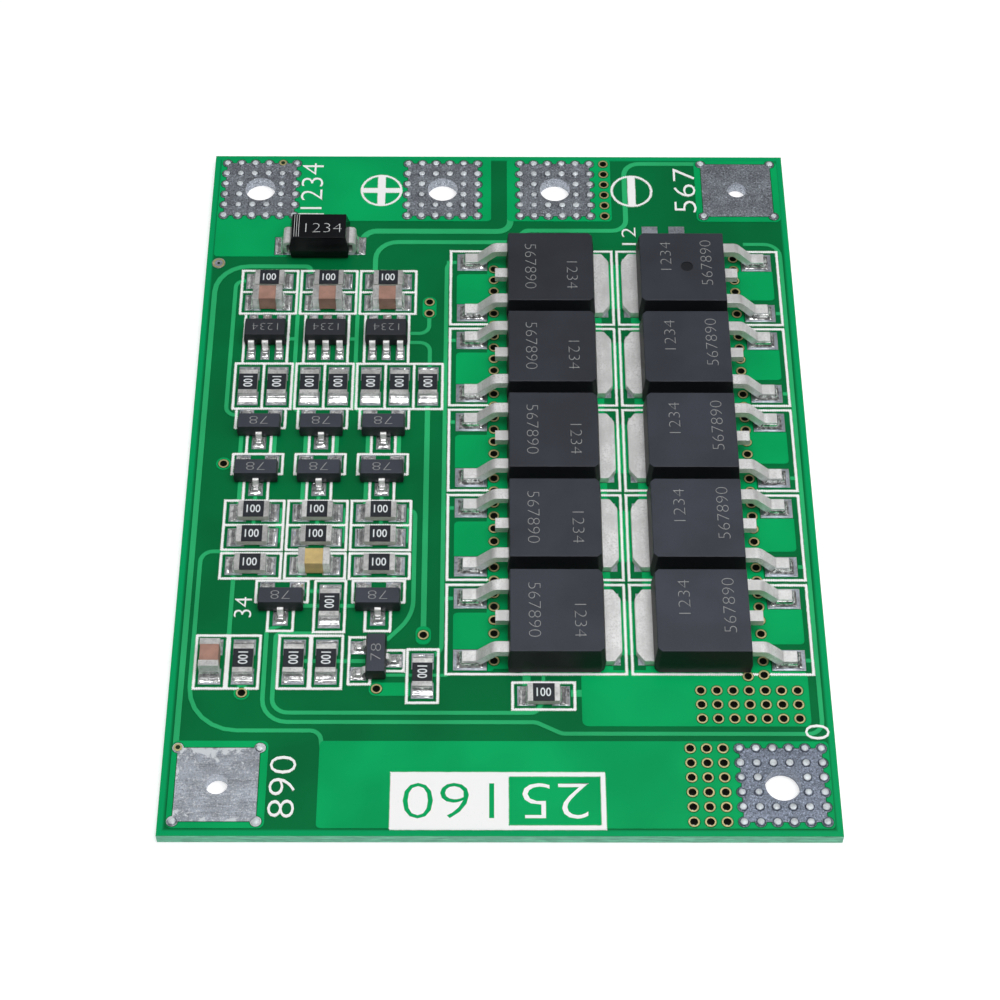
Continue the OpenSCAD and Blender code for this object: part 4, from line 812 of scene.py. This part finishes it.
def dome_group():
    """Low solder domes on points, each a little different."""
    tree, given, out = geometry_group("Solder domes", ("Radius", "Height"))
    ball = add(tree, "GeometryNodeMeshIcoSphere", Radius=1.0, Subdivisions=3)
    smooth = add(tree, "GeometryNodeSetShadeSmooth", Geometry=ball.outputs["Mesh"])
    radius = math_node(tree, "MULTIPLY", given["Radius"], random_scale(tree, given, 0.9, 1.1))
    scale = vector_of(tree, X=radius, Y=radius, Z=given["Height"])
    finish_repeat(tree, given, out, given["Geometry"], smooth.outputs["Geometry"], scale)
    return tree


def on_top(low, high, lift=0.0):
    """The middle of a box's top, or a point over it."""
    return Vector(((low.x + high.x) / 2, (low.y + high.y) / 2, high.z + lift))


def placed(rows, z, thick):
    """Marks for number_mesh from rows of a table, at one height."""
    return [
        (text, long * MM, high * MM, Vector((x * MM, y * MM, z)), turn, thick)
        for text, x, y, long, high, turn in rows
    ]


def islands(node):
    """Boxes of the separate solids in a CAD node."""
    bm = bmesh.new()
    bm.from_mesh(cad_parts[node].data)
    bmesh.ops.remove_doubles(bm, verts=bm.verts, dist=1e-7)
    found, seen = [], set()
    for start in bm.verts:
        if start in seen:
            continue
        stack, group = [start], []
        seen.add(start)
        while stack:
            vert = stack.pop()
            group.append(vert.co)
            for edge in vert.link_edges:
                other = edge.other_vert(vert)
                if other not in seen:
                    seen.add(other)
                    stack.append(other)
        low = Vector(min(c[i] for c in group) for i in range(3))
        high = Vector(max(c[i] for c in group) for i in range(3))
        found.append((low, high))
    bm.free()
    return found


class BOARD_OT_laminate(Operator):
    """Give the laminate and the copper under the mask their finishes"""

    bl_idname = "board.laminate"
    bl_label = "Laminate and mask"

    def execute(self, context):
        palette = colours()
        dress(["printed_board"], mask_finish("Solder mask", palette.mask, gloss=0.3))
        fields = mask_finish("Mask over wide copper", palette.sheet, gloss=0.28, rim=False)
        dress(["copper_sheets"], fields)
        tracks = mask_finish("Mask over tracks", palette.track, gloss=0.3, rim=False)
        dress(["copper_tracks"], tracks)
        return {"FINISHED"}


class BOARD_OT_pads(Operator):
    """Finish the bare metal of the board and add the solder on its filled vias"""

    bl_idname = "board.pads"
    bl_label = "Pads and vias"

    via_rows: IntProperty(
        name="Vias on a side", default=6, min=2, description="Vias along one side of a wire pad"
    )
    collar: length("Via collar", 0.34, "Radius of the collars that stand out of a pad's edge")
    wire_clear: length("Clear of a wire hole", 1.4, "No via is nearer to the middle of a wire pad")
    cell_clear: length("Clear of a cell hole", 1.0, "No via is nearer to the middle of a cell pad")

    def metal(self):
        """The tin of the pads and lands, and the plating of the vias."""
        tin = colours().tin
        crusted, blue = "cell_two_pad", "battery_minus_pad"
        plain = [n for n in PAD_NODES if n not in (crusted, blue)]
        # Nodes, the finish's name, its colour, roughness and strength of flecks, a pad with flux
        kinds = (
            (plain, "Levelled tin", tin, 0.34, 0.85, None),
            ([blue], "Bluish tin", (0.21, 0.24, 0.3), 0.34, 0.85, None),
            ([crusted], "Crusted tin", scaled(tin, 1.25), 0.34, 0.5, crusted),
            (["component_lands"], "Tinned land", scaled(tin, 1.5), 0.26, 0.4, None),
        )
        for nodes, name, rgb, gloss, flecks, crust in kinds:
            dress(nodes, tin_finish(name, rgb, gloss, streaks=0.3, flecks=flecks, crust=crust))
        dress(["plated_vias"], ring_finish())

    def vias(self):
        """Places of the vias that solder fills and of those that it doesn't."""
        filled, unfilled = [], []
        for name in PAD_NODES:
            wire = name in WIRE_PADS
            rows = self.via_rows if wire else 2
            clear = self.wire_clear if wire else self.cell_clear
            low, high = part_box(name)
            centre, side = (low + high) / 2, high.x - low.x - 2 * self.collar
            steps = [side * (i / (rows - 1) - 0.5) for i in range(rows)]
            for i, dx in enumerate(steps):
                for k, dy in enumerate(steps):
                    x, y = centre.x + dx, centre.y + dy
                    if (name, i, k) in OPEN_VIAS:
                        unfilled.append(Vector((x, y, high.z + sizes().mark_gap)))
                    elif math.hypot(dx, dy) > clear:
                        filled.append((x, y, LAND_TOP))
        return filled, unfilled

    def execute(self, context):
        size = sizes()
        self.metal()
        filled, unfilled = self.vias()
        low, high = min(islands("component_lands"), key=lambda box: box[0].x)
        test = on_top(low, high, size.mark_gap)
        spots = [(spot, *OPEN_VIA) for spot in unfilled] + [(test, *TEST_POINT)]
        rings = [(spot, inner, outer) for spot, bore, inner, outer in spots]
        # The bores are dark discs of painted shade in the open vias and in the test point.
        bore_shades = [(spot, 0.0, bore) for spot, bore, inner, outer in spots]
        disc_piece("open_via_rings", rings, ring_finish())
        dark = ink_finish("Open bore", (0.012, 0.03, 0.012), gaps=0.2)
        disc_piece("open_via_bores", bore_shades, dark)
        mesh = bpy.data.meshes.new("via_points")
        mesh.from_pydata(filled, [], [])
        finish = dome_finish(colours().dome)
        domes = spread(
            mesh, dome_group(), "via_solder", Radius=size.dome_radius, Height=size.dome_height,
            Seed=size.seed, Finish=finish,
        )
        piece_from_mesh("via_solder", domes, finish)
        return {"FINISHED"}


class BOARD_OT_print(Operator):
    """Finish the white print, give its edges their dots and add plain numbers"""

    bl_idname = "board.print"
    bl_label = "Print and numbers"

    def execute(self, context):
        size = sizes()
        ink = silk_finish()
        dress(["print_marks"], ink)
        thick = PRINT_TOP - LAMINATE_TOP
        dots = spread(
            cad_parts["print_marks"].data.copy(), print_dot_group(), "print_dots",
            Pitch=size.dot_pitch, Radius=size.dot_radius, Height=thick, Top=PRINT_TOP,
            Sink=size.mark_gap, Seed=size.seed, Finish=ink,
        )
        piece_from_mesh("print_dots", dots, ink)
        labels = placed(PRINTED_NUMBERS, (PRINT_TOP + LAMINATE_TOP) / 2, thick)
        number_piece("print_numbers", labels, ink, REGULAR)
        green = mask_finish("Green in the white field", colours().sheet, gloss=0.35, rim=False)
        field = placed(FIELD_NUMBERS, PRINT_TOP + size.mark_gap, 0.0)
        number_piece("field_numbers", field, green, REGULAR)
        return {"FINISHED"}


class BOARD_OT_power_transistors(Operator):
    """Round the power transistors' bodies, finish their metal and mark them with plain numbers"""

    bl_idname = "board.power_transistors"
    bl_label = "Power transistors"

    part_share: number(
        "Parting height", 0.39, "Share of the height under the parting line", min=0.1, max=0.9
    )
    side_lean: length("Side lean", 0.22, "How far the long sides lean in at the top")
    end_lean: length("End lean", 0.14, "How far the tab and lead ends lean in at the top")
    low_lean: length("Low lean", 0.06, "How far the sides lean in at the foot")
    corner_cut: length("Corner cut", 0.26, "Cut of the two corners beside the tab")
    mark_radius: length("Ejector mark", 0.42, "Radius of the ejector mark on one body")
    # Painted sheen: the bodies' colour is made paler row by row toward the front, and paler again in
    # the right column.
    painted_row_sheen: number("Row tint", 0.14, "How much paler each row's bodies are", min=0.0)
    painted_column_sheen: number("Batch tint", 0.3, "How much paler one column is", min=0.0)

    def ejector_mark(self, place, top):
        """The floor of the ejector mark, darker: partly its glossier finish, partly painted shade."""
        centre = Vector((*place, top - EJECTOR_DEPTH))
        shade = mould_finish("Ejector mark", scaled(colours().mould, 0.35), gloss=0.35)
        disc_piece("ejector_mark", [(centre, 0.0, self.mark_radius)], shade)

    def execute(self, context):
        axis = sum(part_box(n)[0].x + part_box(n)[1].x for n in POWER_BODIES) / (2 * len(POWER_BODIES))
        marks = []
        for node in POWER_BODIES:
            low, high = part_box(node)
            tab_side = 1 if high.x < axis else -1
            middle = (low + high) / 2
            ejector = (middle.x + EJECTOR_SHIFT, middle.y)
            mark = (ejector, self.mark_radius) if node == MARKED_BODY else None
            row = (int(node.rsplit("_", 1)[1]) - 1) % BODIES_IN_COLUMN
            # Painted sheen: paler toward the front rows and in the right column; the sides keep their
            # painted shade as dark.
            tint = 1.0 + self.painted_row_sheen * row + self.painted_column_sheen * (tab_side < 0)
            rgb = scaled(colours().mould, tint)
            body = mould_finish(node + "_finish", rgb, gloss=0.4, painted_side_shade=0.3 / tint)
            lean = (self.end_lean, self.side_lean)
            mesh = moulding(
                node + "_moulding", node, self.part_share, self.low_lean, lean, sizes().power_round,
                self.corner_cut, (tab_side,), mark,
            )
            stand_in(node, "_moulding", mesh, body)
            if mark:
                self.ejector_mark(ejector, high.z)
            turn = -90 if tab_side > 0 else 90
            for text, across, along, long in POWER_MARKS[tab_side]:
                place = Vector((middle.x + tab_side * across * MM, middle.y + along * MM, high.z))
                marks.append((text, long * MM, POWER_MARK_HEIGHT, place, turn, 0.0))
        number_piece("power_numbers", marks, ink_finish("Burnt mark", colours().mark))
        dress(POWER_METALS, plated_lead_finish())
        return {"FINISHED"}


class BOARD_OT_small_parts(Operator):
    """Round the bodies of the diode, the supervisor chips and the small transistors"""

    bl_idname = "board.small_parts"
    bl_label = "Small mouldings"

    band_width: length("Band line", 0.03, "Width of one line of the diode's band")
    band_inset: length("Band inset", 0.3, "How far the band's ends stay inside the diode's body")
    band_lines: FloatVectorProperty(
        name="Band lines", size=3, default=(0.38, 0.54, 0.7),
        description="Where the band's lines start, in mm",
    )

    def mouldings(self):
        """Makes the bodies. Gives the marks on the chips and transistors and those on the diode."""
        mould = colours().mould
        matte = mould_finish("Small moulding", scaled(mould, 1.9), gloss=0.36, painted_side_shade=0.35)
        dark = mould_finish("Supervisor moulding", scaled(mould, 1.0), gloss=0.36, painted_side_shade=0.35)
        shiny = scaled(mould, 0.2)
        glossy = mould_finish("Glossy moulding", shiny, gloss=0.14, painted_side_shade=0.8, shine=0.18)
        # Bodies, finish, share under the parting line, lean in mm at the foot and at the top, then
        # the number: its text, its length as a share of the body's, its height and shift in mm
        groups = (
            (SMALL_BODIES, matte, 0.5, 0.05, 0.09, "78", 0.42, 0.62, (0.0, 0.0)),
            (SUPERVISOR_BODIES, dark, 0.5, 0.05, 0.1, "1234", 0.6, 0.6, (0.0, 0.0)),
            (["diode_body"], glossy, 0.48, 0.12, 0.22, "1234", 0.6, 0.85, (0.34, -0.2)),
        )
        faint, bright = [], []
        for nodes, body, share, low_lean, top_lean, text, long_share, height, shift in groups:
            for node in nodes:
                lean = top_lean * MM
                mesh = moulding(
                    node + "_moulding", node, share, low_lean * MM, (lean, lean), sizes().small_round
                )
                stand_in(node, "_moulding", mesh, body)
                low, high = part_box(node)
                wide, deep = high.x - low.x, high.y - low.y
                place = on_top(low, high) + Vector((shift[0] * MM, shift[1] * MM, 0.0))
                diode = node == "diode_body"
                turn = 0 if diode else 180 if wide > deep else 90
                mark = (text, max(wide, deep) * long_share, height * MM, place, turn, 0.0)
                (bright if diode else faint).append(mark)
        return faint, bright

    def band(self, ink):
        """The band of thin lines on the diode."""
        low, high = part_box("diode_body")
        y0, y1 = low.y + self.band_inset, high.y - self.band_inset
        bm = bmesh.new()
        for start in self.band_lines:
            x = low.x + start * MM
            corners = [(x, y0), (x + self.band_width, y0), (x + self.band_width, y1), (x, y1)]
            bm.faces.new([bm.verts.new((*corner, high.z)) for corner in corners])
        piece_from_mesh("diode_band", mesh_from(bm, "diode_band"), ink)

    def execute(self, context):
        faint, bright = self.mouldings()
        number_piece("small_numbers", faint, ink_finish("Faint mark", scaled(colours().mark, 1.1)))
        ink = ink_finish("Diode mark", scaled(colours().mark, 2.0))
        number_piece("diode_numbers", bright, ink)
        self.band(ink)
        dress(["small_transistor_leads", "diode_leads", *SUPERVISOR_LEADS], plated_lead_finish())
        return {"FINISHED"}


class BOARD_OT_chips(Operator):
    """Finish the chip resistors and capacitors and print plain numbers on the resistors"""

    bl_idname = "board.chips"
    bl_label = "Chips"

    def execute(self, context):
        palette = colours()
        dress(["resistor_ceramic"], ceramic_finish("White ceramic", palette.ceramic))
        dress(["resistor_glaze"], mould_finish("Dark glaze", palette.glaze, gloss=0.3))
        dress(["brown_capacitor_bodies"], ceramic_finish("Brown ceramic", palette.brown, gloss=0.45))
        dress(["tan_capacitor_body"], ceramic_finish("Tan ceramic", palette.tan, gloss=0.45))
        metal = scaled(palette.lead, 0.85)
        ends = tin_finish("Chip ends", metal, gloss=0.36, streaks=0.2, flecks=0.35)
        dress(["resistor_ends", "capacitor_ends"], ends)
        marks = []
        for low, high in islands("resistor_glaze"):
            turn = 0 if high.x - low.x > high.y - low.y else -90
            marks.append(("100", *CHIP_MARK, on_top(low, high, sizes().mark_gap), turn, 0.0))
        ink = ink_finish("Resistor numbers", (0.8, 0.84, 0.86), gaps=0.12)
        number_piece("resistor_numbers", marks, ink, BOLD)
        return {"FINISHED"}


class BOARD_OT_solder(Operator):
    """Finish the solder"""

    bl_idname = "board.solder"
    bl_label = "Solder"

    def execute(self, context):
        # Node, voxel in mm and finish
        kinds = (
            ("power_solder", 0.055, solder_finish("Bright solder", 4200.0, 0.26)),
            ("small_solder", 0.05, solder_finish("Small solder", 2600.0, 0.62)),
        )
        for node, voxel, finish in kinds:
            mesh = melted_mesh(node, node + "_skin", voxel, ripple=0.02)
            stand_in(node, "_skin", mesh, finish)
        return {"FINISHED"}


def softbox(name, place, side, power):
    """A square area lamp that looks at the middle of the board."""
    data = bpy.data.lights.new(name, "AREA")
    data.shape = "SQUARE"
    data.size = side
    data.energy = power
    made = linked(name, data)
    made.location = place
    aim = Vector((0.0, 0.0, LAMINATE_TOP)) - Vector(place)
    made.rotation_euler = aim.to_track_quat("-Z", "Y").to_euler()


class BOARD_OT_stage(Operator):
    """Build the floor, the softboxes, the room and the camera"""

    bl_idname = "board.stage"
    bl_label = "Stage"

    floor_side: number("Floor side", 3.0, "Side of the square floor", unit="LENGTH")
    floor_gap: length("Floor gap", 0.02, "How far the floor lies under the board")
    glow: number("Floor glow", 0.42, "White that is added where the floor shows", min=0.0)

    def floor(self):
        """A white sweep that can be looked through from below."""
        half = self.floor_side / 2
        corners = ((-half, -half), (half, -half), (half, half), (-half, half))
        bm = bmesh.new()
        bm.faces.new([bm.verts.new((*corner, -self.floor_gap)) for corner in corners])
        mesh = mesh_from(bm, "floor")
        material = bpy.data.materials.new("White sweep")
        material.use_nodes = True
        tree = material.node_tree
        tree.nodes.clear()
        rays = tree.nodes.new("ShaderNodeLightPath").outputs
        seen = math_node(tree, "MAXIMUM", rays["Is Camera Ray"], rays["Is Glossy Ray"])
        seen = math_node(tree, "MAXIMUM", seen, rays["Is Transmission Ray"])
        white = math_node(tree, "MULTIPLY", seen, self.glow)
        paper = add(tree, "ShaderNodeBsdfDiffuse", Color=(0.8, 0.8, 0.8, 1.0))
        glow = add(tree, "ShaderNodeEmission", Color=(1.0, 1.0, 1.0, 1.0), Strength=white)
        both = add_in_order(tree, "ShaderNodeAddShader", paper.outputs[0], glow.outputs[0])
        below = tree.nodes.new("ShaderNodeNewGeometry").outputs["Backfacing"]
        clear = tree.nodes.new("ShaderNodeBsdfTransparent").outputs[0]
        sweep = add_in_order(tree, "ShaderNodeMixShader", below, both.outputs[0], clear)
        add(tree, "ShaderNodeOutputMaterial", Surface=sweep.outputs[0])
        mesh.materials.append(material)
        linked("floor", mesh)

    def room(self, stage):
        """A bright ceiling that falls over a cove to dim walls."""
        world = bpy.data.worlds.new("Studio room")
        world.use_nodes = True
        tree = world.node_tree
        tree.nodes.clear()
        height = parts_of(tree, tree.nodes.new("ShaderNodeTexCoord").outputs["Generated"])["Z"]
        cove = map_range(tree, height, 0.5, 0.75, stage.wall, stage.slope, smooth=True)
        over = map_range(tree, height, 0.89, 0.985, 0.0, stage.dome - stage.slope, smooth=True)
        under = map_range(tree, height, -0.05, -0.4, 0.0, stage.slope)
        level = math_node(tree, "ADD", math_node(tree, "ADD", cove, over), under)
        seen = tree.nodes.new("ShaderNodeLightPath").outputs["Is Camera Ray"]
        back = add(tree, "ShaderNodeBackground", Strength=math_node(tree, "MAXIMUM", level, seen))
        add(tree, "ShaderNodeOutputWorld", Surface=back.outputs[0])
        bpy.context.scene.world = world

    def camera(self, stage):
        """The camera, which looks at a point on the laminate."""
        data = bpy.data.cameras.new("camera")
        data.lens = stage.lens
        data.sensor_width = 36.0
        data.clip_start = 0.005
        data.clip_end = 20.0
        made = linked("camera", data)
        tilt = Matrix.Rotation(math.pi / 2 - stage.elevation, 4, "X")
        facing = Matrix.Rotation(-stage.yaw, 4, "Z") @ tilt @ Matrix.Rotation(-stage.roll, 4, "Z")
        aim = Vector((stage.aim_x, stage.aim_y, LAMINATE_TOP))
        back = facing.to_3x3() @ Vector((0, 0, 1))
        made.matrix_world = Matrix.Translation(aim + back * stage.distance) @ facing
        bpy.context.scene.camera = made

    def execute(self, context):
        stage = context.scene.board_stage
        self.floor()
        self.room(stage)
        self.camera(stage)
        # Places and sides are in metres
        softbox("top_softbox", (0.04, -0.05, 0.24), 0.2, stage.top_power)
        softbox("left_softbox", (-0.26, 0.02, 0.2), 0.14, stage.side_power)
        softbox("right_softbox", (0.26, 0.02, 0.2), 0.14, stage.side_power)
        context.scene.view_settings.view_transform = "Standard"
        return {"FINISHED"}


STEPS = (
    BOARD_OT_laminate,
    BOARD_OT_pads,
    BOARD_OT_print,
    BOARD_OT_power_transistors,
    BOARD_OT_small_parts,
    BOARD_OT_chips,
    BOARD_OT_solder,
    BOARD_OT_stage,
)


class BOARD_PT_panel(Panel):
    """Lists the steps that dress the board"""

    bl_label = "Battery management board"
    bl_idname = "BOARD_PT_panel"
    bl_space_type = "VIEW_3D"
    bl_region_type = "UI"
    bl_category = "Board"

    def draw(self, context):
        for step in STEPS:
            self.layout.operator(step.bl_idname)
        for holder in SETTINGS:
            settings = getattr(context.scene, holder)
            box = self.layout.box()
            for name in settings.bl_rna.properties.keys():
                if name not in ("rna_type", "name"):
                    box.prop(settings, name)


SETTINGS = {"board_colours": BoardColours, "board_sizes": BoardSizes, "board_stage": StageSettings}
CLASSES = (*SETTINGS.values(), *STEPS, BOARD_PT_panel)


def register():
    """Adds the classes and their settings to Blender."""
    for kind in CLASSES:
        bpy.utils.register_class(kind)
    for name, kind in SETTINGS.items():
        setattr(bpy.types.Scene, name, PointerProperty(type=kind))


def unregister():
    """Takes the settings and the classes out of Blender."""
    for name in SETTINGS:
        delattr(bpy.types.Scene, name)
    for kind in reversed(CLASSES):
        bpy.utils.unregister_class(kind)


def main():
    """Dresses the board step by step."""
    register()
    for step in STEPS:
        group, name = step.bl_idname.split(".")
        getattr(getattr(bpy.ops, group), name)()


if __name__ == "__main__":
    main()
